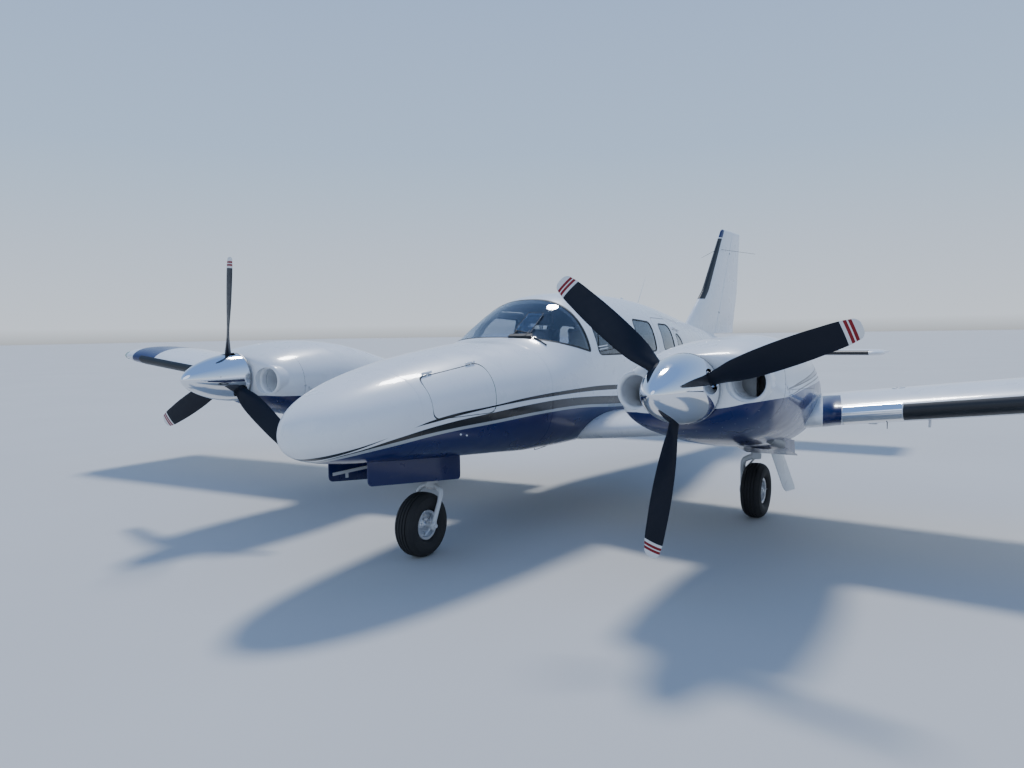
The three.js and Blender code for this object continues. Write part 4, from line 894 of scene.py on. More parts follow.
# Ribs: x, leading edge station, share of the full thickness
wingRibs = [(0.380, 2.590, 1), (0.900, 2.450, 1), (1.500, 2.400, 1), (2.340, 2.400, 1), (2.440, 2.500, 1),
            (5.560, 2.500, 1), (5.760, 2.525, 0.86), (5.880, 2.600, 0.55), (5.930, 2.760, 0.22)]
surface = {"hinge": 2.500 + 0.79 * 1.600, "gap": 0.009, "flap": (0.664, 3.394), "aileron": (3.418, 5.350),
           "endGap": 0.014, "flapArms": (1.120, 2.900), "aileronArms": (3.800, 4.950), "pin": 0.005,
           "armHalf": 0.008, "armTall": 0.024, "notchHalf": 0.015, "notchBehind": 0.022, "fitGap": 0.0009}
jackPad = {"x": 2.620, "station": 2.950, "radius": 0.030, "deep": 0.016}
wheelWell = {"front": 3.215, "back": 3.565, "inner": 1.010, "outer": 1.755, "ceiling": 0.012}


def foil(thick, camber):
    def camberAt(x):
        if camber == 0:
            return 0.0
        return camber / 0.16 * (0.8 * x - x * x) if x < 0.4 else camber / 0.36 * (0.2 + 0.8 * x - x * x)

    def halfAt(x):
        return 5 * thick * (0.2969 * math.sqrt(x) - 0.126 * x - 0.3516 * x ** 2 + 0.2843 * x ** 3
                            - 0.1005 * x ** 4)
    return camberAt, halfAt


def foilLoop(thick, camber, points):
    camberAt, halfAt = foil(thick, camber)
    shares = [(1 - math.cos(math.pi * i / points)) / 2 for i in range(points + 1)]
    upper = [(x, camberAt(x) + halfAt(x)) for x in reversed(shares)]
    return upper + [(x, camberAt(x) - halfAt(x)) for x in shares[1:]]


camberAt, halfAt = foil(wing["thick"], wing["camber"])
leadingEdge = curveThrough([r[0] for r in wingRibs], [r[1] for r in wingRibs])
thickShare = curveThrough([r[0] for r in wingRibs], [r[2] for r in wingRibs])


def ribLift(x):
    return wing["rootZ"] + (abs(x) - wing["rootX"]) * wing["dihedral"]


def wingPoint(x, share, height, side, grow=0.0):
    plain = wing["front"] + share * wing["chord"]
    stretch = (wing["stretch"] - leadingEdge(x)) / (wing["stretch"] - wing["front"])
    station = plain if plain > wing["stretch"] else wing["stretch"] - (wing["stretch"] - plain) * stretch
    rise = height * wing["chord"] * thickShare(x)
    middle = camberAt(share) * wing["chord"] * thickShare(x)
    z = ribLift(x) + rise + math.copysign(grow, rise - middle) - (plain - wing["front"]) * wing["incidence"]
    return (side * x, station - (grow * (1 - share / 0.02) if share < 0.02 else 0), z)


def wingRing(x, side):
    loop = foilLoop(wing["thick"], wing["camber"], wing["points"])
    return [wingPoint(x, share, height, side) for share, height in loop]


hingeShare = (surface["hinge"] - wing["front"]) / wing["chord"]
hingeRadius = halfAt(hingeShare) * wing["chord"] * 0.985


def hingePoint(x, side):
    rise = camberAt(hingeShare) * wing["chord"] - (surface["hinge"] - wing["front"]) * wing["incidence"]
    return Vector((side * x, surface["hinge"], ribLift(x) + rise))


def noseAndBack(name, x0, x1, side, radius, steps=18):
    rings = []
    for x in (x0, x1):
        p = hingePoint(x, side)
        turn = [math.pi / 2 + math.pi * i / steps for i in range(steps + 1)]
        nose = [(p.x, p.y + radius * math.cos(a), p.z + radius * math.sin(a)) for a in turn]
        rings.append(nose + [(p.x, p.y, p.z - 0.19), (p.x, p.y + 0.5, p.z - 0.19),
                             (p.x, p.y + 0.5, p.z + 0.19), (p.x, p.y, p.z + 0.19)])
    return loft(name, rings)


def slab(name, centre, axes, sizes):
    corners = []
    for a in (-0.5, 0.5):
        ring = []
        for b, c in ((-0.5, -0.5), (0.5, -0.5), (0.5, 0.5), (-0.5, 0.5)):
            ring.append(tuple(Vector(centre) + axes[0] * sizes[0] * a + axes[1] * sizes[1] * b
                              + axes[2] * sizes[2] * c))
        corners.append(ring)
    return loft(name, corners)


def hingeArm(fixed, moving, point, axis, ahead, reach):
    a, f = Vector(axis).normalized(), Vector(ahead).normalized()
    axes = (a, f, a.cross(f))
    s = surface
    notch = slab("notch", point + f * (reach - s["notchBehind"]) / 2, axes,
                 (s["notchHalf"] * 2, reach + s["notchBehind"], 0.4))
    carve(moving, notch)
    pin = rod("pin", point - a * (s["notchHalf"] + 0.006), point + a * (s["notchHalf"] + 0.006), s["pin"],
              count=16)
    carve(moving, pin, how="UNION")
    arm = slab("arm", point + f * (reach + 0.03) / 2, axes, (s["armHalf"] * 2, reach + 0.03, s["armTall"]))
    eye = rod("eye", point - a * s["armHalf"], point + a * s["armHalf"], s["armTall"] / 2, count=24)
    carve(arm, eye, how="UNION")
    bore = rod("bore", point - a * s["notchHalf"], point + a * s["notchHalf"], s["pin"] + s["fitGap"],
               count=16)
    carve(arm, bore)
    carve(fixed, arm, how="UNION")


# Where the wing is cut into sections: from x, to x, step; closer over the leading edge's kink and at the tip
stationRuns = [(0.380, 2.240, 0.060), (2.280, 2.480, 0.020), (2.540, 5.400, 0.060), (5.46, 5.76, 0.03),
               (5.775, 5.88, 0.015)]


def wingStations():
    spots = []
    for start, end, step in stationRuns:
        spots += evenly(start, end, step)
    return spots + [5.89, 5.90, 5.91, 5.92, 5.926]


def wingPieces(hand, side, bodySolid):
    rings = [wingRing(x, side) for x in wingStations()]
    middle = wingPoint(5.930, 0.45, camberAt(0.45), side)
    tip = [tuple(Vector(p).lerp(Vector(middle), 0.25)) for p in wingRing(5.930, side)]
    whole = loft("whole", rings + [[(side * 5.930, p[1], p[2]) for p in tip]])
    fixed = copyOf(whole, "fixed")
    carve(fixed, bodySolid, keep=True)
    carve(fixed, noseAndBack("surface room", surface["flap"][0] - 0.3,
                             surface["aileron"][1] + surface["endGap"], side,
                             hingeRadius + surface["gap"]))
    moving = {}
    for name in ("flap", "aileron"):
        moving[name] = noseAndBack(name, *surface[name], side, hingeRadius)
        carve(moving[name], whole, how="INTERSECT", keep=True)
    discard(whole)
    axis = (side, 0, wing["dihedral"])
    for name in ("flap", "aileron"):
        for x in surface[name + "Arms"]:
            hingeArm(fixed, moving[name], hingePoint(x, side), axis, (0, -1, 0), hingeRadius + surface["gap"])
    well = []
    for x in (wheelWell["inner"], wheelWell["outer"]):
        z = ribLift(x) - wheelWell["ceiling"]
        corners = ((wheelWell["front"], z - 0.3), (wheelWell["back"], z - 0.3), (wheelWell["back"], z),
                   (wheelWell["front"], z))
        well.append([(side * x, s, h) for s, h in corners])
    carve(fixed, loft("wheel well", well))
    under = wingPoint(jackPad["x"], (jackPad["station"] - wing["front"]) / wing["chord"],
                      camberAt(0.28) - halfAt(0.28), side)
    pad = rod("pad", (under[0], jackPad["station"], under[2] - jackPad["deep"]),
              (under[0], jackPad["station"], under[2] + 0.02), jackPad["radius"], soft=0.002)
    carve(fixed, pad, how="UNION")
    fit(fixed, f"wing_{hand}_skin", "airframe", [wingPaint, primerGreen], f"wing_{hand}",
        weighted=True)
    paintFaces(fixed, 1, lambda x, s, z, n: wheelWell["front"] - 0.001 < s < wheelWell["back"] + 0.001
               and wheelWell["inner"] - 0.001 < abs(x) < wheelWell["outer"] + 0.001
               and (abs(n.y) > 0.9 or abs(n.x) > 0.9 or (n.z < -0.9 and z > ribLift(x) - 0.02)))
    for name, obj in moving.items():
        fit(obj, f"{name}_{hand}_skin", f"{name}_{hand}", wingPaint, f"{name}_{hand}",
            weighted=True)
    return fixed


def wrapStrip(name, spots, pointAt, shares, grow, count=20):
    top, bottom = shares
    outer, inner = [], []
    for spot in spots:
        upper = [top * (1 - i / count) ** 2 for i in range(count)]
        lower = [bottom * (i / count) ** 2 for i in range(count + 1)]
        path = [(share, 1) for share in upper] + [(share, -1) for share in lower]
        outer.append([pointAt(spot, share, way, grow if 0 < i < len(path) - 1 else 0.0002)
                      for i, (share, way) in enumerate(path)])
        inner.append([pointAt(spot, share, way, -0.003) for share, way in path])
    return loft(name, [a + b[::-1] for a, b in zip(outer, inner)])


# How far a strip stands ahead of the skin and out of it, at a share of the chord
def stripLift(grow, share):
    return grow * max(0.0, 1 - share / 0.012), grow * min(1.0, 0.25 + share / 0.02)


def wingSkinPoint(side):
    def at(x, share, way, grow):
        height = camberAt(share) + way * halfAt(share)
        p = wingPoint(x, share, height, side)
        ahead, out = stripLift(grow, share)
        return (p[0], p[1] - ahead, p[2] + way * out)
    return at


# Strips round the wing's leading edge: from x, to x, share of the chord above and below, how proud
edgeStrips = {"polished": (2.492, 2.846, 0.026, 0.10, 0.0012), "boot": (2.852, 5.46, 0.018, 0.062, 0.0022)}


def wings():
    bodySolid = body.solid("body solid", rootStations(0.4, 8.25, 150), -0.0003)
    for hand, side in sides.items():
        wingPieces(hand, side, bodySolid)
        at = wingSkinPoint(side)
        for name, look, slot in (("polished", chrome, "spinner_polish"), ("boot", bootRubber, "tyre_rubber")):
            x0, x1, top, bottom, grow = edgeStrips[name]
            strip = wrapStrip(name, evenly(x0, x1, 0.06), at, (top, bottom), grow)
            fit(strip, f"wing_{hand}_{name}", "airframe", look)
    discard(bodySolid)
    print("wings made")


wings()


# Engine nacelles. Sections as for the body, about each nacelle's own middle
nacelleRows = [
    (1.166, 0.212, 1.395, 1.020, 1.212, 2.0, 2.0),
    (1.185, 0.335, 1.402, 1.012, 1.195, 2.2, 2.1),
    (1.225, 0.408, 1.412, 0.985, 1.190, 2.4, 2.2),
    (1.330, 0.448, 1.438, 0.938, 1.185, 2.6, 2.3),
    (1.560, 0.465, 1.474, 0.876, 1.175, 2.6, 2.4),
    (1.860, 0.468, 1.492, 0.812, 1.165, 2.6, 2.5),
    (2.290, 0.448, 1.456, 0.742, 1.140, 2.5, 2.5),
    (2.700, 0.400, 1.355, 0.700, 1.090, 2.4, 2.5),
    (3.100, 0.335, 1.235, 0.700, 1.025, 2.3, 2.4),
    (3.500, 0.245, 1.085, 0.752, 0.935, 2.2, 2.3),
    (3.650, 0.190, 1.000, 0.810, 0.900, 2.1, 2.1),
]
cowl = {"front": 1.166, "back": 2.290, "wall": 0.022, "shaftHole": 0.060}
inlet = {"x": 0.325, "z": 1.220, "radius": 0.092, "lip": 0.122, "front": 1.212, "end": 1.46}
cowlFlap = {"half": 0.190, "front": 2.480, "back": 3.020, "frontZ": 0.745, "backZ": 0.588, "thick": 0.009}
spinner = {"tip": 0.650, "back": 1.150, "radius": 0.196, "wall": 0.006, "bladeHole": 0.058}
prop = {"station": 1.071, "hub": 0.088, "angles": {"left": -0.8656, "right": 0.0893}}
# Blade sections: radius, chord, thickness, degrees from the plane of the disc
bladeRows = [(0.070, 0.074, 0.066, 55), (0.180, 0.092, 0.052, 49), (0.330, 0.150, 0.027, 38),
             (0.520, 0.162, 0.019, 28), (0.760, 0.148, 0.014, 21), (0.925, 0.112, 0.009, 17),
             (0.965, 0.046, 0.006, 16)]
# The blade's round shank goes flat over a run of its radius, and its tip is rounded from a radius outwards
bladeForm = {"shankEnd": 0.30, "shankRun": 0.16, "tipFrom": 0.925, "tip": 0.040, "tipChord": 0.112}


def inletCentre(side, way):
    rise = nacelleCant * side * way * inlet["x"]
    return (side * engineX + way * inlet["x"], 0, inlet["z"] + rise)


def cowling(hand, side, pod):
    x = side * engineX
    back = cowl["back"] - 0.0003
    stations = [cowl["front"] + (back - cowl["front"]) * (i / 60) ** 1.6 for i in range(60)]
    rings = [pod.ring(s, count=112) for s in stations] + [pod.ring(back - seam["run"], count=112),
                                                         pod.ring(back, seam["gap"], 112)]
    shell = loft("cowl", rings)
    for way in (-1, 1):
        centre = inletCentre(side, way)
        r, lip, s = inlet["radius"], inlet["lip"], inlet["front"]
        bulge = [(r + 0.014 + (lip - r - 0.014) * math.sin(a), s + 0.020 * (1 - math.cos(a)))
                 for a in (math.pi / 2 * i / 8 for i in range(9))]
        flare = [(lip + 0.001, s + 0.055), (lip - 0.002, s + 0.10), (lip - 0.012, s + 0.16),
                 (0.05, inlet["end"])]
        lipSolid = lathe("lip", [(0, s)] + bulge + flare + [(0, inlet["end"])], centre, (0, 1, 0), 64)
        carve(shell, lipSolid, how="UNION")
    inside = pod.solid("inside", evenly(1.262, cowl["back"] + 0.02, 0.04), cowl["wall"], 80)
    carve(shell, inside)
    hub = rod("shaft hole", (x, 1.05, propZ), (x, 1.40, propZ), cowl["shaftHole"], count=40)
    carve(shell, hub)
    for way in (-1, 1):
        r, s = inlet["radius"], inlet["front"]
        mouth = [(r + 0.014 - 0.014 * math.sin(a), s - 0.001 + 0.020 * (1 - math.cos(a)))
                 for a in (math.pi / 2 * i / 8 for i in range(9))]
        throat = lathe("throat", [(0, 1.1), (r + 0.014, 1.1)] + mouth + [(r, 1.40), (0, 1.40)],
                       inletCentre(side, way), (0, 1, 0), 64)
        carve(shell, throat)
    fit(shell, f"cowling_{hand}_skin", "airframe", [nacellePaint, castMetal],
        f"cowling_{hand}", weighted=True)
    for way in (-1, 1):
        inletDuct(hand, side, way)


# The duct behind each inlet sinks and flattens towards the baffle at its end
ductSizes = {"start": 0.055, "long": 0.24, "drop": 0.045, "flatten": 0.25, "out": 0.003, "in": 0.0005,
             "baffle": 0.275, "baffleDrop": 0.034}


def inletDuct(hand, side, way):
    centre = Vector(inletCentre(side, way))
    r, s = inlet["radius"], inlet["front"]
    d = ductSizes
    outer, inner = [], []
    for i in range(15):
        t = i / 14
        middle = centre + Vector((0, s + d["start"] + d["long"] * t, -d["drop"] * t * t))
        for rings, wide in ((outer, r + d["out"]), (inner, r - d["in"])):
            tall = wide * (1 - d["flatten"] * t)
            rings.append([tuple(middle + Vector((math.cos(a) * wide, 0, math.sin(a) * tall)))
                          for a in (2 * math.pi * k / 48 for k in range(48))])
    duct = tubeLoft("duct", outer, inner)
    name = "outboard" if way == side else "inboard"
    fit(duct, f"inlet_{hand}_{name}_duct", "airframe", whitePaint)
    plate = lathe("baffle", [(0, 0), (r - 0.004, 0), (r - 0.004, 0.004), (0, 0.004)],
                  centre + Vector((0, s + d["baffle"], -d["baffleDrop"])), (0, 1, -0.2), 48)
    fit(plate, f"inlet_{hand}_{name}_baffle", "airframe", darkPlastic)


def rearNacelle(hand, side, pod):
    x = side * engineX
    start = cowl["back"] + 0.0003
    stations = evenly(start + seam["run"], 3.56, 0.028) + [3.59, 3.615, 3.635]
    rings = [pod.ring(start, seam["gap"], 112)] + [pod.ring(s, count=112) for s in stations]
    for depth, s in ((0.012, 3.647), (0.040, 3.655), (0.085, 3.6605)):
        rings.append(pod.ring(3.650, depth, 112))
        rings[-1] = [(a, s, c) for a, b, c in rings[-1]]
    shell = loft("pod", rings)
    legRoom = sorted([side * (mainGear["x"] - 0.2), side * (mainGear["x"] + 0.06)])
    carve(shell, box("leg room", *legRoom, wheelWell["front"], wheelWell["back"], 0.4, 0.9))
    fit(shell, f"nacelle_{hand}_skin", "airframe", nacellePaint, f"nacelle_{hand}",
        weighted=True)
    c = cowlFlap
    edge = [(c["front"], c["frontZ"]), (c["back"], c["backZ"]), (c["back"], c["backZ"] + c["thick"]),
            (c["front"], c["frontZ"] + c["thick"])]
    plate = bevelled(sidePrism("flap plate", edge, x - c["half"], x + c["half"]), 0.002)
    cheeks = []
    for way in (-1, 1):
        outline = [(c["front"], c["frontZ"]), (c["back"] - 0.08, c["backZ"] + 0.03),
                   (c["back"] - 0.10, c["backZ"] + 0.13), (c["front"], c["frontZ"] + 0.05)]
        edgeX = x + way * (c["half"] - 0.004)
        cheeks.append(sidePrism("cheek", outline, edgeX - 0.003, edgeX + 0.003))
    fit(joined("flap", [plate] + cheeks), f"cowl_flap_{hand}", "airframe", bluePaint)


def spinnerProfile(wall, count=44):
    profile = []
    for i in range(count + 1):
        share = (i / count) ** 1.5
        radius = (spinner["radius"] - wall) * (1 - (1 - share) ** 1.75) ** 0.62
        tip = spinner["tip"] + wall * 1.6
        profile.append((0 if i == 0 else radius, tip + (spinner["back"] - tip) * share))
    return profile


def bladeSolid(side, angle):
    out = Vector((math.sin(angle), 0, math.cos(angle)))
    across = Vector((math.cos(angle), 0, -math.sin(angle)))
    aft = Vector((0, 1, 0))
    centre = Vector((side * engineX, prop["station"], propZ))
    radii = [row[0] for row in bladeRows]
    chord, thick, pitch = (curveThrough(radii, [row[k] for row in bladeRows]) for k in (1, 2, 3))
    rings = []
    spots = evenly(0.070, 0.90, 0.030) + [0.915, 0.928, 0.938, 0.946, 0.953, 0.958, 0.962, 0.965]
    for radius in spots:
        twist = side * math.radians(pitch(radius))
        chordWay = across * math.cos(twist) + aft * math.sin(twist)
        faceWay = across * -math.sin(twist) + aft * math.cos(twist)
        width, deep = chord(radius), thick(radius)
        if radius > bladeForm["tipFrom"]:
            share = (radius - bladeForm["tipFrom"]) / bladeForm["tip"]
            width = bladeForm["tipChord"] * math.sqrt(max(1 - 0.84 * share ** 2.4, 0.02))
        shank = max(0.0, min(1.0, (bladeForm["shankEnd"] - radius) / bladeForm["shankRun"]))
        ring = []
        for k in range(36):
            a = 2 * math.pi * k / 36
            c, f = math.cos(a), math.sin(a)
            flat = 0.62 if f > 0 else 1.12
            lean = 0.12 * (1 - shank) * (1 - c * c) * width
            f = math.copysign(abs(f) ** (1.0 + 0.35 * (1 - shank)), f) * (shank + (1 - shank) * flat)
            ring.append(tuple(centre + out * radius + chordWay * (width / 2 * c - lean)
                              + faceWay * deep / 2 * f))
        rings.append(ring)
    return loft("blade", rings)


def propeller(hand, side):
    x = side * engineX

    def line(s):
        return (x, s, propZ)

    parts = [rod("hub", line(prop["station"] - 0.06), line(spinner["back"]), prop["hub"], count=48,
                 soft=0.004)]
    clamps = []
    cover = lathe("spinner", spinnerProfile(0) + [(spinner["radius"] - spinner["wall"], spinner["back"])]
                  + spinnerProfile(spinner["wall"])[:0:-1] + [(0, spinner["tip"] + spinner["wall"] * 1.6)],
                  (x, 0, propZ), (0, 1, 0), 112)
    holes = []
    for k in range(3):
        angle = prop["angles"][hand] + k * 2 * math.pi / 3
        out = Vector((math.sin(angle), 0, math.cos(angle)))
        base = Vector(line(prop["station"]))
        parts.append(bladeSolid(side, angle))
        holes.append(rod("blade hole", base, base + out * 0.4, spinner["bladeHole"], count=40))
        clamps.append(lathe("clamp",
                            [(0.030, 0.11), (0.046, 0.112), (0.050, 0.120), (0.050, 0.168), (0.046, 0.176),
                             (0.030, 0.176)], base, out, 40, closed=True))
    for hole in holes:
        carve(cover, hole)
    plate = rod("plate", line(spinner["back"] - 0.014), line(spinner["back"] - 0.006),
                spinner["radius"] - 0.002, count=96)
    carve(plate, rod("plate hole", line(1.11), line(1.17), prop["hub"] + 0.0006, count=48))
    rim = lathe("rim", [(spinner["radius"] - 0.004, spinner["back"] - 0.016),
                        (spinner["radius"] + 0.0015, spinner["back"] - 0.014),
                        (spinner["radius"] + 0.0015, spinner["back"] - 0.001),
                        (spinner["radius"] - 0.004, spinner["back"])],
                (x, 0, propZ), (0, 1, 0), 112, closed=True)
    bodyName = f"propeller_{hand}"
    fit(joined("spinner", [cover, plate]), f"spinner_{hand}_shell", bodyName, chrome,
        f"spinner_{hand}", angle=24)
    fit(rim, f"spinner_{hand}_rim", bodyName, castMetal)
    fit(joined("blades", parts), f"blades_{hand}", bodyName, bladeLook, f"propeller_{hand}")
    fit(joined("clamps", clamps), f"blade_clamps_{hand}", bodyName, chrome)


mainGear = {"x": 1.695, "axle": 3.390}


def engines():
    for hand, side in sides.items():
        pod = Shell(nacelleRows, side * engineX, nacelleCant * side)
        cowling(hand, side, pod)
        rearNacelle(hand, side, pod)
        propeller(hand, side)
        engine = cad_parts[f"engine_{hand}"]
        engine.data.materials.clear()
        engine.data.materials.append(castMetal)
    print("engines, cowlings and propellers made")


engines()


# Tail. Fin heights: z, leading edge station, trailing edge station, thickness
finRows = [(1.360, 6.060, 8.340, 0.150), (1.631, 6.435, 8.395, 0.142), (2.063, 7.064, 8.562, 0.122),
           (2.870, 7.774, 8.694, 0.072), (2.940, 7.836, 8.704, 0.062)]
# The fin's rounded top: over what height, how far its edges draw in, and what share of the thickness goes
finTop = {"round": 0.030, "front": 0.045, "back": 0.012, "thin": 0.75}
rudder = {"low": (7.373, 1.473), "high": (8.122, 2.673), "bottom": 1.488, "gap": 0.010, "arms": (0.25, 0.95)}
stab = {"z": 1.210, "front": 7.878, "chord": 0.842, "half": 2.065, "thick": 0.10, "pivot": 8.100,
        "inner": 0.134, "ribs": [(0.134, 1, 0), (1.930, 1, 0), (2.030, 0.75, 0.040), (2.065, 0.30, 0.130)]}


def alongRows(rows, column, at):
    return float(np.interp(at, [row[0] for row in rows], [row[column] for row in rows]))


def finRing(z, points=32):
    top = finRows[-1][0]
    down = max(0.0, 1 - (top - z) / finTop["round"])
    nip = 1 - math.sqrt(max(1 - down * down, 0.0))
    leading = alongRows(finRows, 1, z) + finTop["front"] * nip
    trailing = alongRows(finRows, 2, z) - finTop["back"] * nip
    thick = alongRows(finRows, 3, z) * (1 - finTop["thin"] * nip)
    return [(half * thick, leading + share * (trailing - leading), z)
            for share, half in foilLoop(1, 0, points)]


rudderSlope = (rudder["high"][0] - rudder["low"][0]) / (rudder["high"][1] - rudder["low"][1])
rudderAxis = Vector((0, rudderSlope, 1)).normalized()


def rudderStation(z):
    return rudder["low"][0] + (z - rudder["low"][1]) * rudderSlope


def rudderHalf(z):
    leading = alongRows(finRows, 1, z)
    chord = alongRows(finRows, 2, z) - leading
    return foil(1, 0)[1]((rudderStation(z) - leading) / chord) * alongRows(finRows, 3, z) * 0.985


def rudderCut(name, z0, z1, grow, steps=18):
    rings = []
    for z in evenly(z0, z1, 0.05):
        radius, middle = rudderHalf(min(z, finRows[-1][0])) + grow, rudderStation(z)
        nose = [(radius * math.cos(a), middle - radius / rudderAxis.z * math.sin(a), z)
                for a in (math.pi * i / steps for i in range(steps + 1))]
        rings.append(nose + [(-0.3, middle, z), (-0.3, middle + 1.2, z), (0.3, middle + 1.2, z),
                             (0.3, middle, z)])
    return loft(name, rings)


def finAndRudder():
    top = finRows[-1][0]
    heights = evenly(1.370, 2.905, 0.045) + [2.913, 2.920, 2.927, 2.932, 2.936, 2.939, 2.940]
    whole = loft("whole fin", [finRing(z) for z in heights])
    turning = rudderCut("rudder", rudder["bottom"], top + 0.001, 0)
    carve(turning, whole, how="INTERSECT", keep=True)
    bodySolid = body.solid("body solid", evenly(5.8, 8.29, 0.03), -0.0003)
    fixed = carve(whole, bodySolid, rudderCut("rudder room", 1.30, top + 0.05, rudder["gap"]))
    for t in rudder["arms"]:
        z = rudder["low"][1] + (rudder["high"][1] - rudder["low"][1]) * t
        point = Vector((0, rudderStation(z), z))
        hingeArm(fixed, turning, point, rudderAxis, (0, -rudderAxis.z, rudderAxis.y),
                 rudderHalf(z) + rudder["gap"])
    keepBiggest(fixed)
    fit(fixed, "finSkin", "airframe", [whitePaint, bluePaint], "fin", weighted=True)
    paintFaces(fixed, 1, lambda x, s, z, n: z > 2.80 and s < alongRows(finRows, 1, z) + 0.07)
    fit(turning, "rudderSkin", "rudder", whitePaint, "rudder", weighted=True)

    def at(z, share, way, grow):
        leading = alongRows(finRows, 1, z)
        chord = alongRows(finRows, 2, z) - leading
        half = foil(1, 0)[1](share) * alongRows(finRows, 3, z)
        ahead, out = stripLift(grow, share)
        return (way * (half + out), leading + share * chord - ahead, z)
    boot = wrapStrip("boot", evenly(1.945, 2.80, 0.05), at, (0.075, 0.075), 0.0022)
    fit(boot, "fin_boot", "airframe", bootRubber)


def keepBiggest(obj):
    bm = bmesh.new()
    bm.from_mesh(obj.data)
    left, groups = set(bm.verts), []
    while left:
        todo, group = [left.pop()], []
        while todo:
            vert = todo.pop()
            group.append(vert)
            for edge in vert.link_edges:
                other = edge.other_vert(vert)
                if other in left:
                    left.discard(other)
                    todo.append(other)
        groups.append(group)
    biggest = max(groups, key=len)
    bmesh.ops.delete(bm, geom=[v for g in groups if g is not biggest for v in g], context="VERTS")
    bm.to_mesh(obj.data)
    bm.free()


def stabilator():
    spots = [r[0] for r in stab["ribs"]]
    share = curveThrough(spots, [r[1] for r in stab["ribs"]])
    nip = curveThrough(spots, [r[2] for r in stab["ribs"]])
    beam = box("beam", -stab["inner"] - 0.02, stab["inner"] + 0.02, stab["pivot"] - 0.052,
               stab["pivot"] + 0.230, stab["z"] - 0.026, stab["z"] + 0.026)

    def ring(x, side, points=30):
        return [(side * x, stab["front"] + nip(x) + at * (stab["chord"] - 1.3 * nip(x)),
                 stab["z"] + height * stab["chord"] * share(x))
                for at, height in foilLoop(stab["thick"], 0, points)]
    halves = []
    for hand, side in sides.items():
        places = evenly(stab["inner"], 1.90, 0.08) + evenly(1.93, 2.04, 0.012)
        places += [2.047, 2.053, 2.058, 2.062, 2.065]
        half = loft("half", [ring(x, side) for x in places])
        carve(beam, half, how="UNION", keep=True)
        halves.append(half)
    discard(*halves)
    notch = 0.033
    carve(beam, box("notch", -notch, notch, stab["pivot"] - 0.08, stab["pivot"] + 0.042, stab["z"] - 0.06,
                    stab["z"] + 0.06))
    carve(beam, rod("pin", (-notch - 0.008, stab["pivot"], stab["z"]),
                    (notch + 0.008, stab["pivot"], stab["z"]), 0.010), how="UNION")
    for hand, side in sides.items():
        tabSlot = box("tab slot", *sorted([side * 0.20, side * 1.46]), 8.5965, 8.5995, stab["z"] - 0.03,
                      stab["z"] - 0.002)
        upper = box("tab slot", *sorted([side * 0.20, side * 1.46]), 8.5965, 8.5995, stab["z"] + 0.002,
                    stab["z"] + 0.03)
        carve(beam, tabSlot, upper)
    fit(beam, "stabilatorSkin", "stabilator", whitePaint, "stabilator", weighted=True)
    profile = foil(stab["thick"], 0)[1]
    for hand, side in sides.items():
        def at(x, part, way, grow):
            ahead, out = stripLift(grow, part)
            return (side * x, stab["front"] + part * stab["chord"] - ahead,
                    stab["z"] + way * (profile(part) * stab["chord"] + out))
        boot = wrapStrip("boot", evenly(0.30, 1.90, 0.06), at, (0.070, 0.070), 0.0022)
        fit(boot, f"stabilator_{hand}_boot", "stabilator", bootRubber)


finAndRudder()
stabilator()
print("tail made")


# Landing gear
wheel = {"tyreR": 0.2225, "tyreHalf": 0.080, "rimR": 0.092, "axleR": 0.016, "axleZ": 0.2225}
noseGear = {"axle": 1.163, "topStation": 1.430, "topZ": 0.790, "legR": 0.031, "pistonR": 0.024,
            "forkTop": 0.42, "forkX": 0.104}
mainLegSizes = {"foot": 0.505, "tube": 0.033, "shoulder": 0.472, "armX": 1.695 - 0.108, "braceLow": 0.620,
                "braceHigh": 0.900, "braceReach": 0.330}


def tyreShape(x, station):
    r, half = wheel["tyreR"], wheel["tyreHalf"]
    side = [(0.1045, 0.0465), (0.112, 0.060), (0.120, 0.0695), (0.136, 0.0765), (0.152, half),
            (0.168, 0.0795), (0.183, 0.0765), (0.1895, 0.0745), (0.1900, 0.0755), (0.1930, 0.0745),
            (0.1935, 0.0720), (0.204, 0.0655), (0.2135, 0.0540), (0.2175, 0.0455)]
    tread = [(0.2196, 0.0395), (0.2132, 0.0380), (0.2132, 0.0330), (0.2212, 0.0312), (0.2222, 0.0160),
             (0.2158, 0.0147), (0.2158, 0.0098), (r, 0.0082), (r, 0.0)]
    outer = side + tread
    profile = outer + [(a, -b) for a, b in outer[-2::-1]]
    inner = [(wheel["rimR"] + 0.0003, -0.044), (wheel["rimR"] + 0.0003, 0.044)]
    return lathe("tyre", profile + inner, (x, station, wheel["axleZ"]), (1, 0, 0), 120, closed=True)


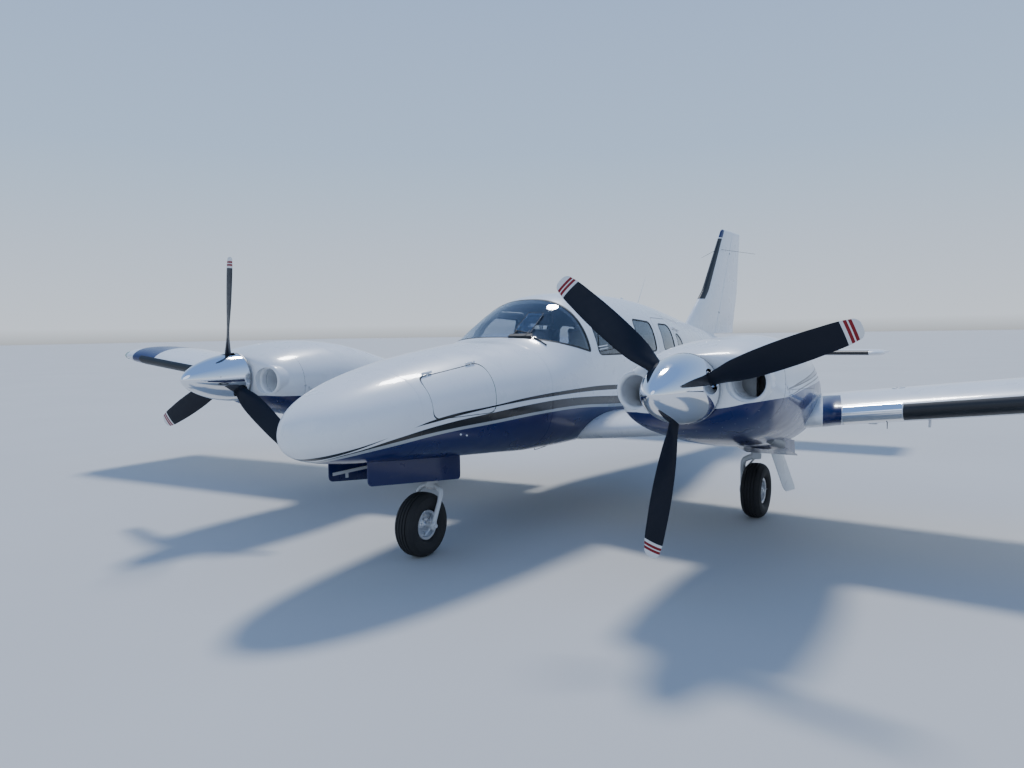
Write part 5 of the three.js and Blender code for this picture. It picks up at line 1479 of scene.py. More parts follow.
def rimShape(x, station, face):
    a = wheel["axleR"] + 0.0005
    half = [(a, 0.040), (0.030, 0.040), (0.033, 0.0375), (0.040, 0.036), (0.046, 0.0335), (0.050, 0.028),
            (0.060, 0.0235), (0.072, 0.022), (0.079, 0.026), (0.082, 0.036), (0.0835, 0.050), (0.086, 0.0535),
            (0.101, 0.0545), (0.1040, 0.0525), (0.1040, 0.0472), (0.0970, 0.0466), (wheel["rimR"], 0.0460)]
    profile = half + [(r, -d) for r, d in half[::-1]]
    rim = lathe("rim", profile, (x, station, wheel["axleZ"]), (1, 0, 0), 96, closed=True)
    for k in range(6):
        angle = 2 * math.pi * (k + 0.5) / 6
        spot = (x, station + 0.066 * math.cos(angle), wheel["axleZ"] + 0.066 * math.sin(angle))
        hole = rod("hole", (x - 0.08, spot[1], spot[2]), (x + 0.08, spot[1], spot[2]), 0.0105, count=20)
        carve(rim, hole)
    parts = [rim]
    for k in range(9):
        angle = 2 * math.pi * k / 9
        for way in (-1, 1):
            spot = Vector((x + way * 0.0335, station + 0.0445 * math.cos(angle),
                           wheel["axleZ"] + 0.0445 * math.sin(angle)))
            parts.append(rod("bolt", spot, spot + Vector((way * 0.007, 0, 0)), 0.0042, count=6))
    cap = [(0, 0.052), (0.014, 0.052), (0.019, 0.050), (0.0215, 0.046), (0.0215, 0.036), (0, 0.036)]
    parts.append(lathe("cap", [(r, d * face) for r, d in cap], (x, station, wheel["axleZ"]), (1, 0, 0), 32))
    valve = Vector((x + face * 0.046, station + 0.078, wheel["axleZ"]))
    parts.append(rod("valve", valve, valve + Vector((face * 0.022, 0.003, 0)), 0.0035, count=10))
    return joined("rim", parts)


def steerPoint(t, x=0.0):
    low = Vector((0, noseGear["axle"], wheel["axleZ"]))
    high = Vector((0, noseGear["topStation"], noseGear["topZ"]))
    point = low.lerp(high, t)
    return Vector((x, point.y, point.z))


def noseGearPieces():
    g = noseGear
    legParts = [lathe("leg",
                      [(g["pistonR"] + 0.001, 0.0), (g["legR"] + 0.009, 0.0), (g["legR"] + 0.010, 0.004),
                       (g["legR"] + 0.010, 0.034), (g["legR"] + 0.002, 0.040), (g["legR"], 0.046),
                       (g["legR"], 0.245), (g["pistonR"] + 0.001, 0.245)],
                      steerPoint(0.6), steerPoint(1) - steerPoint(0.6), 40, closed=True)]
    half = noseWell["half"] - 0.0003
    legParts.append(rod("trunnion", (-half, g["topStation"], g["topZ"]), (half, g["topStation"], g["topZ"]),
                        0.020, count=32, soft=0.002))
    for way in (-1, 1):
        legParts.append(rod("trunnion collar", (way * 0.060, g["topStation"], g["topZ"]),
                            (way * 0.100, g["topStation"], g["topZ"]), 0.030, count=32, soft=0.003))
    legParts.append(rod("drag brace", steerPoint(0.9), (0, 1.180, noseWell["top"] - 0.0065), 0.014, count=20))
    legParts.append(rod("actuator", steerPoint(0.93, 0.030), (0.030, 1.395, noseWell["top"] - 0.02), 0.011,
                        count=16))
    leg = joined("leg", legParts)
    fit(leg, "nose_leg_tube", "airframe", gearWhite, "nose_leg")

    fork = [rod("piston", steerPoint(g["forkTop"]), steerPoint(0.715), g["pistonR"], count=40)]
    fork.append(lathe("crown", [(0, -0.012), (0.030, -0.010), (0.036, -0.004), (0.037, 0.008), (0.036, 0.040),
                                (0.031, 0.052), (g["pistonR"] + 0.002, 0.056), (0, 0.056)],
                      steerPoint(g["forkTop"]), steerPoint(1) - steerPoint(g["forkTop"]), 40))
    for way in (-1, 1):
        path = smoothPath([steerPoint(g["forkTop"] + 0.02, way * 0.006),
                           steerPoint(g["forkTop"] + 0.018, way * 0.050),
                           steerPoint(g["forkTop"] - 0.030, way * 0.092),
                           steerPoint(g["forkTop"] - 0.120, way * g["forkX"]),
                           steerPoint(0.14, way * g["forkX"]), steerPoint(0.0, way * g["forkX"])], 8)
        sizes = [0.026 - 0.009 * min(1, i / 26) for i in range(len(path))]
        fork.append(swept("fork arm", path, sizes, 20, 0.72))
        foot = Vector((way * g["forkX"], g["axle"], wheel["axleZ"]))
        fork.append(rod("foot", foot - Vector((0.013, 0, 0)), foot + Vector((0.013, 0, 0)), 0.027, count=36,
                        soft=0.003))
        fork.append(rod("nut", foot + Vector((way * 0.013, 0, 0)), foot + Vector((way * 0.028, 0, 0)), 0.015,
                        count=6))
    fork.append(rod("axle", (-g["forkX"], g["axle"], wheel["axleZ"]), (g["forkX"], g["axle"], wheel["axleZ"]),
                    wheel["axleR"], count=28))
    fit(joined("fork", fork), "nose_fork_arch", "nose_steering", gearWhite, "nose_fork")

    fit(rimShape(0, g["axle"], 1), "nose_wheel_rim", "nose_wheel", wheelLook, "nose_wheel")
    fit(tyreShape(0, g["axle"]), "nose_tyre_rubber", "nose_wheel", tyreRubber, "nose_tyre",
        angle=50)


def noseDoor(hand, side, bodySolid):
    d = {"front": 0.470, "back": 1.400, "frontLow": 0.622, "backLow": 0.515, "thick": 0.007}
    edge = [(d["front"], d["frontLow"]), (d["back"], d["backLow"]), (d["back"], 0.90), (d["front"], 0.90)]
    inner = side * (noseWell["half"] + 0.002)
    outer = side * (noseWell["half"] + 0.002 + d["thick"])
    soft = rounded(edge, 0.035)
    plate = sidePrism("plate", soft, *sorted([inner, outer]))
    carve(plate, bodySolid, keep=True)
    rib = []
    for s in (0.62, 0.86, 1.10, 1.30):
        low = d["frontLow"] + (d["backLow"] - d["frontLow"]) * (s - d["front"]) / (d["back"] - d["front"])
        rib.append(box("rib", *sorted([inner, inner - side * 0.008]), s - 0.010, s + 0.010, low + 0.02,
                       0.675))
    lip = box("lip", *sorted([inner, inner - side * 0.006]), d["front"] + 0.03, d["back"] - 0.03, 0.655,
              0.675)
    fit(plate, f"nose_door_{hand}_plate", "airframe", bluePaint, f"nose_door_{hand}")
    fit(joined("ribs", rib + [lip]), f"nose_door_{hand}_ribs", "airframe", gearWhite)


def mainGearPieces(hand, side):
    m = mainLegSizes
    x, s = side * mainGear["x"], mainGear["axle"]
    armX = side * m["armX"]
    z = wheel["axleZ"]
    leg = [rod("tube", (x, s, m["foot"]), (x, s, 0.90), m["tube"], count=40),
           lathe("collar", [(0, -0.024), (0.034, -0.024), (0.040, -0.018), (0.041, 0.0), (0.041, 0.026),
                            (0.036, 0.034), (0, 0.034)],
                 (x, s, m["foot"]), (0, 0, 1), 40),
           rod("brace", (x, s, m["braceLow"]), (x - side * m["braceReach"], s, m["braceHigh"] - 0.01), 0.015,
               count=20)]
    path = smoothPath([(x, s, m["foot"] + 0.004), (x - side * 0.045, s, m["foot"] - 0.012),
                       (armX + side * 0.012, s, m["shoulder"] - 0.008),
                       (armX, s, m["shoulder"] - 0.060), (armX, s, 0.34), (armX, s, z)], 8)
    leg.append(swept("arm", path, [0.030 - 0.006 * min(1, i / 24) for i in range(len(path))], 22, 0.85))
    leg.append(rod("hub", (armX - 0.018, s, z), (armX + 0.018, s, z), 0.036, count=40, soft=0.003))
    leg.append(rod("axle", (armX, s, z), (x + side * 0.058, s, z), wheel["axleR"], count=28))
    caliper = box("caliper", *sorted([armX + side * 0.020, armX + side * 0.052]), s + 0.030, s + 0.085,
                  z - 0.050, z + 0.050)
    leg.append(bevelled(caliper, 0.008, 3))
    for k in (-0.028, 0.028):
        leg.append(rod("caliper bolt", (armX + side * 0.010, s + 0.058, z + k),
                       (armX + side * 0.020, s + 0.058, z + k), 0.006, count=6))
    leg.append(rod("caliper arm", (armX, s + 0.006, z), (armX, s + 0.062, z), 0.012, count=14))
    upper = [(x - side * 0.012, s + 0.034, m["foot"] + 0.052),
             (x - side * 0.012, s + 0.105, m["foot"] - 0.005)]
    lower = [(armX + side * 0.02, s + 0.02, 0.395), upper[1]]
    for a, b in (upper, lower):
        leg.append(swept("torque link", [a, Vector(a).lerp(Vector(b), 0.5), b], [0.012, 0.010, 0.009], 12,
                         0.7))
    leg.append(rod("torque pin", (upper[1][0] - 0.016, upper[1][1], upper[1][2]),
                   (upper[1][0] + 0.016, upper[1][1], upper[1][2]), 0.008))
    fit(joined("leg", leg), f"main_leg_{hand}_tube", "airframe", gearWhite, f"main_leg_{hand}")
    hose = smoothPath([(x, s + 0.036, 0.82), (x + side * 0.012, s + 0.052, 0.66),
                       (x - side * 0.03, s + 0.070, 0.50), (armX - side * 0.018, s + 0.055, 0.42),
                       (armX - side * 0.004, s + 0.058, 0.285)], 8)
    fit(swept("hose", hose, 0.0042, 10), f"brake_hose_{hand}", "airframe", sealRubber)
    disc = lathe("disc", [(0.050, -0.0035), (0.083, -0.0035), (0.083, 0.0035), (0.050, 0.0035)],
                 (armX + side * 0.040, s, z), (1, 0, 0), 64, closed=True)
    fit(disc, f"brake_disc_{hand}", f"main_wheel_{hand}", steel)
    fit(rimShape(x, s, side), f"main_wheel_{hand}_rim", f"main_wheel_{hand}", wheelLook,
        f"main_wheel_{hand}")
    fit(tyreShape(x, s), f"main_tyre_{hand}_rubber", f"main_wheel_{hand}", tyreRubber,
        f"main_tyre_{hand}", angle=50)


strutDoorSizes = {"x": 0.098, "top": 0.640, "bottom": 0.232, "front": 3.330, "back": 3.500, "out": 0.128,
                  "splay": 0.045, "aft": 0.045, "thick": 0.007, "stay": 0.565}


def strutDoor(hand, side):
    d = strutDoorSizes

    def at(along, up, deep=0.0):
        bow = 0.008 * (1 - (2 * along - 1) ** 2)
        return (side * (mainGear["x"] + d["x"] + d["out"] * (1 - up) + d["splay"] * along + deep + bow),
                d["front"] + (d["back"] - d["front"]) * along + d["aft"] * (1 - up),
                d["bottom"] + (d["top"] - d["bottom"]) * up)

    corners = rounded([(0, 0), (1, 0), (1, 1), (0, 1)], 0.16, 5)
    plate = bevelled(loft("plate", [[at(u, v, deep) for u, v in corners] for deep in (0, d["thick"])]),
                     0.0015, 2, 50)
    up = (d["stay"] - d["bottom"]) / (d["top"] - d["bottom"])
    along = (mainGear["axle"] + 0.004 - d["front"] - d["aft"] * (1 - up)) / (d["back"] - d["front"])
    stay = rod("stay", (side * (mainGear["x"] + 0.033), mainGear["axle"], d["stay"]), at(along, up, 0.003),
               0.010, count=20)
    ribs = [rod("rib", at(0.12, height, -0.003), at(0.88, height, -0.003), 0.006, count=10)
            for height in (0.35, 0.82)]
    fit(joined("strut door", [plate, stay] + ribs), f"strut_door_{hand}_plate", "airframe",
        whitePaint, f"strut_door_{hand}")


gearWhite = grained("gearWhite", (0.68, 0.69, 0.70, 1), (0.50, 0.49, 0.47, 1), 0.34, 90.0, 0.15)
noseGearPieces()
frontSolid = body.solid("front solid", evenly(0.42, 1.50, 0.03), -0.0003)
for hand, side in sides.items():
    noseDoor(hand, side, frontSolid)
    mainGearPieces(hand, side)
    strutDoor(hand, side)
discard(frontSolid)
print("gear made")


# Cabin interior: the instrument panel, and three rows of padded seats
panel = {"front": 2.200, "back": 2.500, "half": 0.500, "low": 1.080, "top": 1.405, "wall": 0.040}
seat = {"x": 0.245, "half": 0.195, "thick": 0.110, "top": 1.055, "deep": 0.440, "backThick": 0.095,
        "lean": 0.090, "back": 0.540, "shortBack": 0.440, "headHalf": 0.120, "headTall": 0.120,
        "headThick": 0.080}
# Each row's station, which way its back lies, and the height of the back
seatRows = {"front": (2.870, 1, seat["back"]), "middle": (3.640, -1, seat["back"]),
            "rear": (4.300, 1, seat["shortBack"])}
padding = {"voxel": 0.0085, "inset": 0.012, "cap": 0.024, "pressure": 4.0, "frames": 20, "groove": 0.006,
           "grooveWidth": 0.007}
knobRed = newLook("redKnob", Base_Color=(0.35, 0.012, 0.010, 1), Roughness=0.35)
knobBlue = newLook("blueKnob", Base_Color=(0.010, 0.030, 0.22, 1), Roughness=0.35)
markWhite = newLook("dialMarks", Base_Color=(0.75, 0.76, 0.74, 1), Roughness=0.5)
dialGlass = newLook("dialFace", Base_Color=(0.010, 0.011, 0.012, 1), Roughness=0.12, Coat_Weight=0.5)


def dial(x, z, radius):
    s = panel["back"]
    rim = lathe("rim", [(radius * 0.90, -0.001), (radius * 1.10, -0.001), (radius * 1.08, 0.004),
                        (radius * 1.00, 0.006), (radius * 0.92, 0.0045)], (x, s, z), (0, 1, 0), 28,
                closed=True)
    face = rod("face", (x, s - 0.0005, z), (x, s + 0.0022, z), radius * 0.93, count=28)
    marks = []
    for k in range(12):
        turn = 2 * math.pi * k / 12
        way = Vector((math.sin(turn), 0, math.cos(turn)))
        start = Vector((x, s + 0.0026, z)) + way * radius * 0.72
        marks.append(rod("mark", start, start + way * radius * 0.16, 0.0009, count=6))
    turn = x * 31 + z * 17
    needle = Vector((math.sin(turn), 0, math.cos(turn)))
    marks.append(rod("needle", Vector((x, s + 0.0032, z)) - needle * radius * 0.2,
                     Vector((x, s + 0.0032, z)) + needle * radius * 0.66, 0.0014, 0.0006, 6))
    return rim, face, joined("marks", marks)


def instrumentPanel(stations):
    p = panel
    room = body.solid("panel room", stations[:40], p["wall"], 96)
    board = box("board", -p["half"], p["half"], p["front"], p["back"], p["low"], p["top"] - 0.002)
    carve(board, room, how="INTERSECT", keep=True)
    bevelled(board, 0.006, 3, 60)
    shield = [(p["front"], p["top"] - 0.014), (p["back"] + 0.070, p["top"] - 0.018),
              (p["back"] + 0.088, p["top"] - 0.010), (p["back"] + 0.088, p["top"] + 0.004),
              (p["back"] + 0.070, p["top"] + 0.012), (p["front"], p["top"] + 0.012)]
    hood = bevelled(sidePrism("hood", shield, -p["half"] - 0.02, p["half"] + 0.02), 0.004, 2)
    carve(hood, room, how="INTERSECT")
    console = [(p["back"] - 0.16, cabin["floor"] + 0.0004), (p["back"] + 0.040, cabin["floor"] + 0.0004),
               (p["back"] + 0.040, 1.060), (p["back"] - 0.004, p["low"] + 0.040),
               (p["back"] - 0.16, p["low"] + 0.040)]
    console = bevelled(sidePrism("console", console, -0.110, 0.110), 0.010, 3)
    rims, faces, marks = [], [], []
    rows = ([(x, z, 0.040) for x in (0.150, 0.243, 0.336) for z in (1.335, 1.240)]
            + [(0.420, 1.335, 0.026), (0.420, 1.275, 0.026), (0.420, 1.215, 0.026)]
            + [(x, z, 0.028) for x in (-0.190, -0.262, -0.334, -0.406) for z in (1.335, 1.268)]
            + [(x, 1.150, 0.020) for x in (0.30, 0.35, 0.40, -0.30, -0.35, -0.40)])
    for x, z, radius in rows:
        rim, face, mark = dial(x, z, radius)
        rims.append(rim)
        faces.append(face)
        marks.append(mark)
    screens, knobs = [], []
    for z, tall in ((1.345, 0.052), (1.283, 0.048), (1.226, 0.036), (1.180, 0.036), (1.140, 0.026)):
        rims.append(bevelled(box("unit", -0.100, 0.060, p["back"] - 0.002, p["back"] + 0.007, z - tall / 2,
                                 z + tall / 2), 0.002, 2))
        screens.append(bevelled(box("screen", -0.078, 0.036, p["back"], p["back"] + 0.0085,
                                    z - tall / 2 + 0.007, z + tall / 2 - 0.007), 0.001, 1))
        for x in (-0.090, 0.048):
            knobs.append(rod("knob", (x, p["back"] + 0.006, z), (x, p["back"] + 0.020, z), 0.0065, 0.0055,
                             16, 0.001))
    for k in range(10):
        x = 0.150 + k * 0.020
        knobs.append(bevelled(box("switch", x - 0.007, x + 0.007, p["back"] - 0.001, p["back"] + 0.008,
                                  1.098, 1.122), 0.002, 2))
    levers, tops = [], []
    for k, look in enumerate((darkPlastic, darkPlastic, knobBlue, knobBlue, knobRed, knobRed)):
        x = -0.068 + k * 0.027
        foot = Vector((x, p["back"] + 0.010, 1.085))
        top = Vector((x, p["back"] + 0.052 - 0.010 * (k // 2), 1.158 - 0.012 * (k // 2)))
        levers.append(rod("lever", foot, top, 0.003, count=10))
        tops.append((lathe("top", [(0, -0.002), (0.008, 0.0), (0.0105, 0.006), (0.0105, 0.014),
                                   (0.007, 0.019), (0, 0.020)], top, top - foot, 16), look))
    for k, look in enumerate((darkPlastic, knobBlue, knobRed)):
        pair = [knob for knob, finish in tops if finish is look]
        fit(joined("tops", pair), f"lever_knobs_{k + 1}", "airframe", look)
    fit(joined("levers", levers), "levers", "airframe", steel)
    yokes, hubs = [], []
    for hand in (-1, 1):
        x = hand * seat["x"]
        start, end = Vector((x, p["back"] - 0.02, 1.215)), Vector((x, p["back"] + 0.186, 1.2247))
        hubs.append(rod("shaft", start, end, 0.013, count=24, soft=0.002))
        hubs.append(rod("collar", (x, p["back"] - 0.001, 1.216), (x, p["back"] + 0.012, 1.2165), 0.024,
                        count=24, soft=0.003))
        grip = [(x - 0.153, p["back"] + 0.192, 1.328), (x - 0.150, p["back"] + 0.192, 1.296),
                (x - 0.143, p["back"] + 0.192, 1.245), (x - 0.118, p["back"] + 0.192, 1.222),
                (x - 0.055, p["back"] + 0.192, 1.218), (x, p["back"] + 0.192, 1.221)]
        path = grip + [(2 * x - a, b, c) for a, b, c in grip[-2::-1]]
        path = smoothPath(path, 8)
        sizes = [0.0155 - 0.004 * max(0, math.cos(math.pi * i / (len(path) - 1)) ** 8 * -1 + 1)
                 for i in range(len(path))]
        yokes.append(swept("yoke", path, sizes, 16))
        yokes.append(bevelled(box("yoke hub", x - 0.046, x + 0.046, p["back"] + 0.178, p["back"] + 0.205,
                                  1.203, 1.243), 0.007, 3))
    fit(joined("panel", [board, hood, console] + yokes), "instrumentPanel", "airframe",
        darkPlastic, "instrument_panel")
    fit(joined("hubs", hubs), "yokeShafts", "airframe", steel)
    fit(joined("rims", rims), "dialRims", "airframe", darkPlastic)
    fit(joined("faces", faces + screens), "dialFaces", "airframe", dialGlass)
    fit(joined("marks", marks), "dialMarks", "airframe", markWhite)
    fit(joined("knobs", knobs), "panelKnobs", "airframe", sealRubber)


def swollen(obj):
    modifier = obj.modifiers.new("remesh", "REMESH")
    modifier.mode = "VOXEL"
    modifier.voxel_size = padding["voxel"]
    bake(obj)
    count = len(obj.data.vertices)
    start = np.empty(count * 3)
    obj.data.vertices.foreach_get("co", start)
    cloth = obj.modifiers.new("Cloth", "CLOTH")
    cloth.settings.use_pressure = True
    cloth.settings.uniform_pressure_force = padding["pressure"]
    cloth.settings.effector_weights.gravity = 0
    cloth.settings.quality = 4
    cloth.point_cache.frame_start, cloth.point_cache.frame_end = 1, padding["frames"]
    for moment in range(1, padding["frames"] + 1):
        bpy.context.scene.frame_set(moment)
    moved = np.empty(count * 3)
    shape = obj.evaluated_get(bpy.context.evaluated_depsgraph_get()).data
    shape.vertices.foreach_get("co", moved)
    obj.modifiers.clear()
    shift = (moved - start).reshape(-1, 3)
    length = np.linalg.norm(shift, axis=1, keepdims=True)
    shift *= np.minimum(1.0, padding["cap"] / np.maximum(length, 1e-9))
    obj.data.vertices.foreach_set("co", (start.reshape(-1, 3) + shift).ravel())
    obj.data.update()
    bpy.context.scene.frame_set(1)
    return obj


def sewn(obj, lines, face):
    for vertex in obj.data.vertices:
        x, s, z = vertex.co.x, vertex.co.y - noseY, vertex.co.z
        if face(vertex.normal):
            near = min(line(x, s, z) for line in lines)
            vertex.co -= vertex.normal * padding["groove"] * math.exp(-(near / padding["grooveWidth"]) ** 2)
    return obj


# A cushion, two heights of back and a headrest for each are shaped at x 0, for a seat whose back lies aft
def padShapes():
    inset = padding["inset"]
    wide, deep = seat["half"] - inset, seat["deep"] / 2 - inset
    low, top = seat["top"] - seat["thick"] + inset, seat["top"] - inset
    shapes = {}
    outline = rounded([(-deep, low), (deep, low), (deep, top), (-deep, top + 0.006)], 0.030, 4)
    cushion = sidePrism("cushion", outline, -wide, wide)
    bevelled(cushion, 0.020, 3)
    swollen(cushion)
    lines = [lambda x, s, z: abs(abs(x) - 0.105), lambda x, s, z: abs(s + 0.125),
             lambda x, s, z: abs(s - 0.10) if abs(x) < 0.105 else 1,
             lambda x, s, z: abs(s + 0.012) if abs(x) < 0.105 else 1]
    shapes["cushion"] = sewn(cushion, lines, lambda n: n.z > 0.3)
    base = seat["deep"] / 2 - 0.040
    for name, tall in (("back", seat["back"]), ("short back", seat["shortBack"])):
        foot, head = seat["top"] - 0.060 + inset, seat["top"] + tall - inset
        thick = seat["backThick"]
        outline = [(base + inset, foot), (base + thick - inset, foot),
                   (base + seat["lean"] + thick - inset, head), (base + seat["lean"] + inset, head)]
        back = sidePrism(name, rounded(outline, 0.030, 4), -0.180 + inset, 0.170 - inset)
        bevelled(back, 0.020, 3)
        swollen(back)
        lines = [lambda x, s, z: abs(abs(x + 0.005) - 0.100),
                 lambda x, s, z: abs(z - seat["top"] - tall * 0.74),
                 lambda x, s, z: abs(z - seat["top"] - tall * 0.28) if abs(x + 0.005) < 0.100 else 1,
                 lambda x, s, z: abs(z - seat["top"] - tall * 0.51) if abs(x + 0.005) < 0.100 else 1]
        shapes[name] = sewn(back, lines, lambda n: n.y < -0.3)
    for name, tall in (("head", seat["back"]), ("short head", seat["shortBack"])):
        start = base + seat["lean"] * 1.05 + 0.020
        low, high = seat["top"] + tall - 0.005 + inset, seat["top"] + tall + seat["headTall"] - inset
        outline = rounded([(start + inset, low), (start + seat["headThick"] - inset, low),
                           (start + seat["headThick"] - inset, high), (start + inset, high)], 0.025, 4)
        shapes[name] = swollen(bevelled(sidePrism(name, outline, -seat["headHalf"] + inset,
                                                  seat["headHalf"] - inset), 0.016, 3))
    return shapes


def placed(shape, name, x, station, facing):
    obj = copyOf(shape, name)
    turn = (Matrix.Translation((x, station + noseY, 0)) @ Matrix.Diagonal((1, facing, 1, 1))
            @ Matrix.Translation((0, -noseY, 0)))
    obj.data.transform(turn)
    if facing < 0:
        obj.data.flip_normals()
    return obj


def seats():
    shapes = padShapes()
    for row, (station, facing, tall) in seatRows.items():
        frames = [bevelled(box("rail", -0.305, 0.305, station - 0.025, station + 0.025,
                               cabin["floor"] + 0.0004, 0.830), 0.004, 2)]
        for hand, side in sides.items():
            x = side * seat["x"]
            for way in (-1, 1):
                frames.append(bevelled(box("track", x + way * 0.100 - 0.012, x + way * 0.100 + 0.012,
                                           station - 0.130, station + 0.130, cabin["floor"] + 0.0004,
                                           0.824), 0.003, 2))
                outline = [(station - 0.115, 0.822), (station + 0.115, 0.822), (station + 0.080, 0.955),
                           (station - 0.080, 0.955)]
                frames.append(bevelled(sidePrism("side plate", outline, x + way * 0.094 - 0.010,
                                                 x + way * 0.094 + 0.010), 0.004, 2))
            frames.append(bevelled(box("pan", x - 0.108, x + 0.108, station - 0.128, station + 0.128, 0.934,
                                       0.962), 0.006, 2))
            short = tall != seat["back"]
            for pad, shape in (("cushion", "cushion"), ("back", "short back" if short else "back"),
                               ("headrest", "short head" if short else "head")):
                obj = placed(shapes[shape], pad, x, station, facing)
                fit(obj, f"{row}_seat_{hand}_{pad}", "airframe", seatHide,
                    f"seats_{row}", angle=60)
            start = station + facing * (seat["deep"] / 2 - 0.040 + seat["lean"] + 0.045)
            for way in (-1, 1):
                frames.append(rod("post", (x + way * 0.050, start, seat["top"] + tall - 0.05),
                                  (x + way * 0.050, start + facing * 0.010, seat["top"] + tall + 0.05),
                                  0.006, count=14))
        fit(joined("frames", frames), f"{row}_seat_frames", "airframe", castMetal,
            f"seats_{row}")
    discard(*shapes.values())
    print("seats made")


instrumentPanel(stationsOfCabin)
print("panel made")
seats()


# Rivet, screw and bolt heads, set along paths by a node tree and turned to face out of the skin
# Each kind: spacing, radius, height
heads = {"rivet": (0.032, 0.0022, 0.0008), "screw": (0.075, 0.0034, 0.0010), "bolt": (0.088, 0.0050, 0.0020)}


def headTree():
    tree = bpy.data.node_groups.new("headsAlongPaths", "GeometryNodeTree")
    sockets = {}
    tree.interface.new_socket("Paths", in_out="INPUT", socket_type="NodeSocketGeometry")
    for label, kind in (("Spacing", "Float"), ("Head radius", "Float"), ("Head height", "Float"),
                        ("Look", "Material")):
        sockets[label] = tree.interface.new_socket(label, in_out="INPUT",
                                                   socket_type="NodeSocket" + kind).identifier
    tree.interface.new_socket("Heads", in_out="OUTPUT", socket_type="NodeSocketGeometry")
    given, result = tree.nodes.new("NodeGroupInput"), tree.nodes.new("NodeGroupOutput")
    curve = tree.nodes.new("GeometryNodeMeshToCurve")
    spaced = tree.nodes.new("GeometryNodeResampleCurve")
    spaced.mode = "LENGTH"
    facing = tree.nodes.new("GeometryNodeInputNamedAttribute")
    facing.data_type = "FLOAT_VECTOR"
    facing.inputs["Name"].default_value = "facing"
    turn = tree.nodes.new("FunctionNodeAlignRotationToVector")
    turn.axis = "Z"
    head = tree.nodes.new("GeometryNodeMeshCone")
    head.inputs["Vertices"].default_value = 8
    top = tree.nodes.new("ShaderNodeMath")
    top.operation = "MULTIPLY"
    top.inputs[1].default_value = 0.6
    placed = tree.nodes.new("GeometryNodeInstanceOnPoints")
    real = tree.nodes.new("GeometryNodeRealizeInstances")
    painted = tree.nodes.new("GeometryNodeSetMaterial")
    link = tree.links.new
    link(given.outputs["Paths"], curve.inputs[0])
    link(curve.outputs[0], spaced.inputs["Curve"])
    link(given.outputs["Spacing"], spaced.inputs["Length"])
    link(facing.outputs[0], turn.inputs["Vector"])
    link(given.outputs["Head radius"], head.inputs["Radius Bottom"])
    link(given.outputs["Head radius"], top.inputs[0])
    link(top.outputs[0], head.inputs["Radius Top"])
    link(given.outputs["Head height"], head.inputs["Depth"])
    link(spaced.outputs[0], placed.inputs["Points"])
    link(head.outputs["Mesh"], placed.inputs["Instance"])
    link(turn.outputs[0], placed.inputs["Rotation"])
    link(placed.outputs[0], real.inputs[0])
    link(real.outputs[0], painted.inputs["Geometry"])
    link(given.outputs["Look"], painted.inputs["Material"])
    link(painted.outputs[0], result.inputs[0])
    return tree, sockets


headsGroup, headSockets = headTree()


def headsAlong(name, kind, paths, body, look):
    mesh = bpy.data.meshes.new(name)
    points = [point for path in paths for point, way in path]
    edges, start = [], 0
    for path in paths:
        edges += [(start + i, start + i + 1) for i in range(len(path) - 1)]
        start += len(path)
    mesh.from_pydata([toPlace(point) for point in points], edges, [])
    ways = mesh.attributes.new("facing", "FLOAT_VECTOR", "POINT")
    ways.data.foreach_set("vector", [value for path in paths for point, way in path for value in way])
    obj = bpy.data.objects.new(name, mesh)
    bpy.context.scene.collection.objects.link(obj)
    modifier = obj.modifiers.new("heads", "NODES")
    modifier.node_group = headsGroup
    for label, value in zip(("Spacing", "Head radius", "Head height"), heads[kind]):
        modifier[headSockets[label]] = value
    modifier[headSockets["Look"]] = look
    made = bpy.data.meshes.new_from_object(obj.evaluated_get(bpy.context.evaluated_depsgraph_get()))
    obj.modifiers.clear()
    obj.data = made
    fit(obj, name, body, look)


# Splits a path where a test fails, so that no head sits over an opening or another piece
def kept(path, test):
    parts, part = [], []
    for point, way in path:
        if test(*point):
            part.append((point, way))
            continue
        parts.append(part)
        part = []
    return [part for part in parts + [part] if len(part) > 1]


def wingSpot(side, x, share, way):
    def at(px, ps):
        return Vector(wingPoint(px, ps, camberAt(ps) + way * halfAt(ps), side))
    point = at(x, share)
    normal = (at(x + 0.01, share) - point).cross(at(x, share + 0.005) - point).normalized()
    return tuple(point), tuple(normal if normal.z * way > 0 else -normal)


def onWingSkin(x, s, z):
    x = abs(x)
    inWell = wheelWell["inner"] - 0.02 < x < wheelWell["outer"] + 0.02 and 3.19 < s < 3.59 and z < ribLift(x)
    return not inWell and not 1.42 < x < 2.40


rivetRows = {"ribs": (0.80, 1.10, 2.50, 2.85, 3.20, 3.55, 3.90, 4.25, 4.60, 4.95, 5.30, 5.50),
             "shares": (0.19, 0.42, 0.735), "from": 0.74, "to": 5.62}


def wingRivets():
    for hand, side in sides.items():
        paths = []
        for way in (1, -1):
            for x in rivetRows["ribs"]:
                paths += kept([wingSpot(side, x, share, way) for share in evenly(0.19, 0.735, 0.01)],
                              onWingSkin)
            for share in rivetRows["shares"]:
                spots = evenly(rivetRows["from"], rivetRows["to"], 0.03)
                paths += kept([wingSpot(side, x, share, way) for x in spots], onWingSkin)
        headsAlong(f"wing_{hand}_rivets", "rivet", paths, "airframe", wingPaint)


# Heads round a body section or along it; a section's normal is taken across the section only
def ringPath(shell, station, lift=0.0):
    ring = [Vector(p) for p in shell.ring(station, -lift)]
    count = len(ring)
    path = []
    for i in range(count + 1):
        here, along = ring[i % count], ring[(i + 1) % count] - ring[i - 1]
        normal = Vector((along.z, 0, -along.x)).normalized()
        outward = here - Vector((shell.centreX, station, shell.sizes(station)[3]))
        path.append((tuple(here), tuple(normal if normal.dot(outward) > 0 else -normal)))
    return path


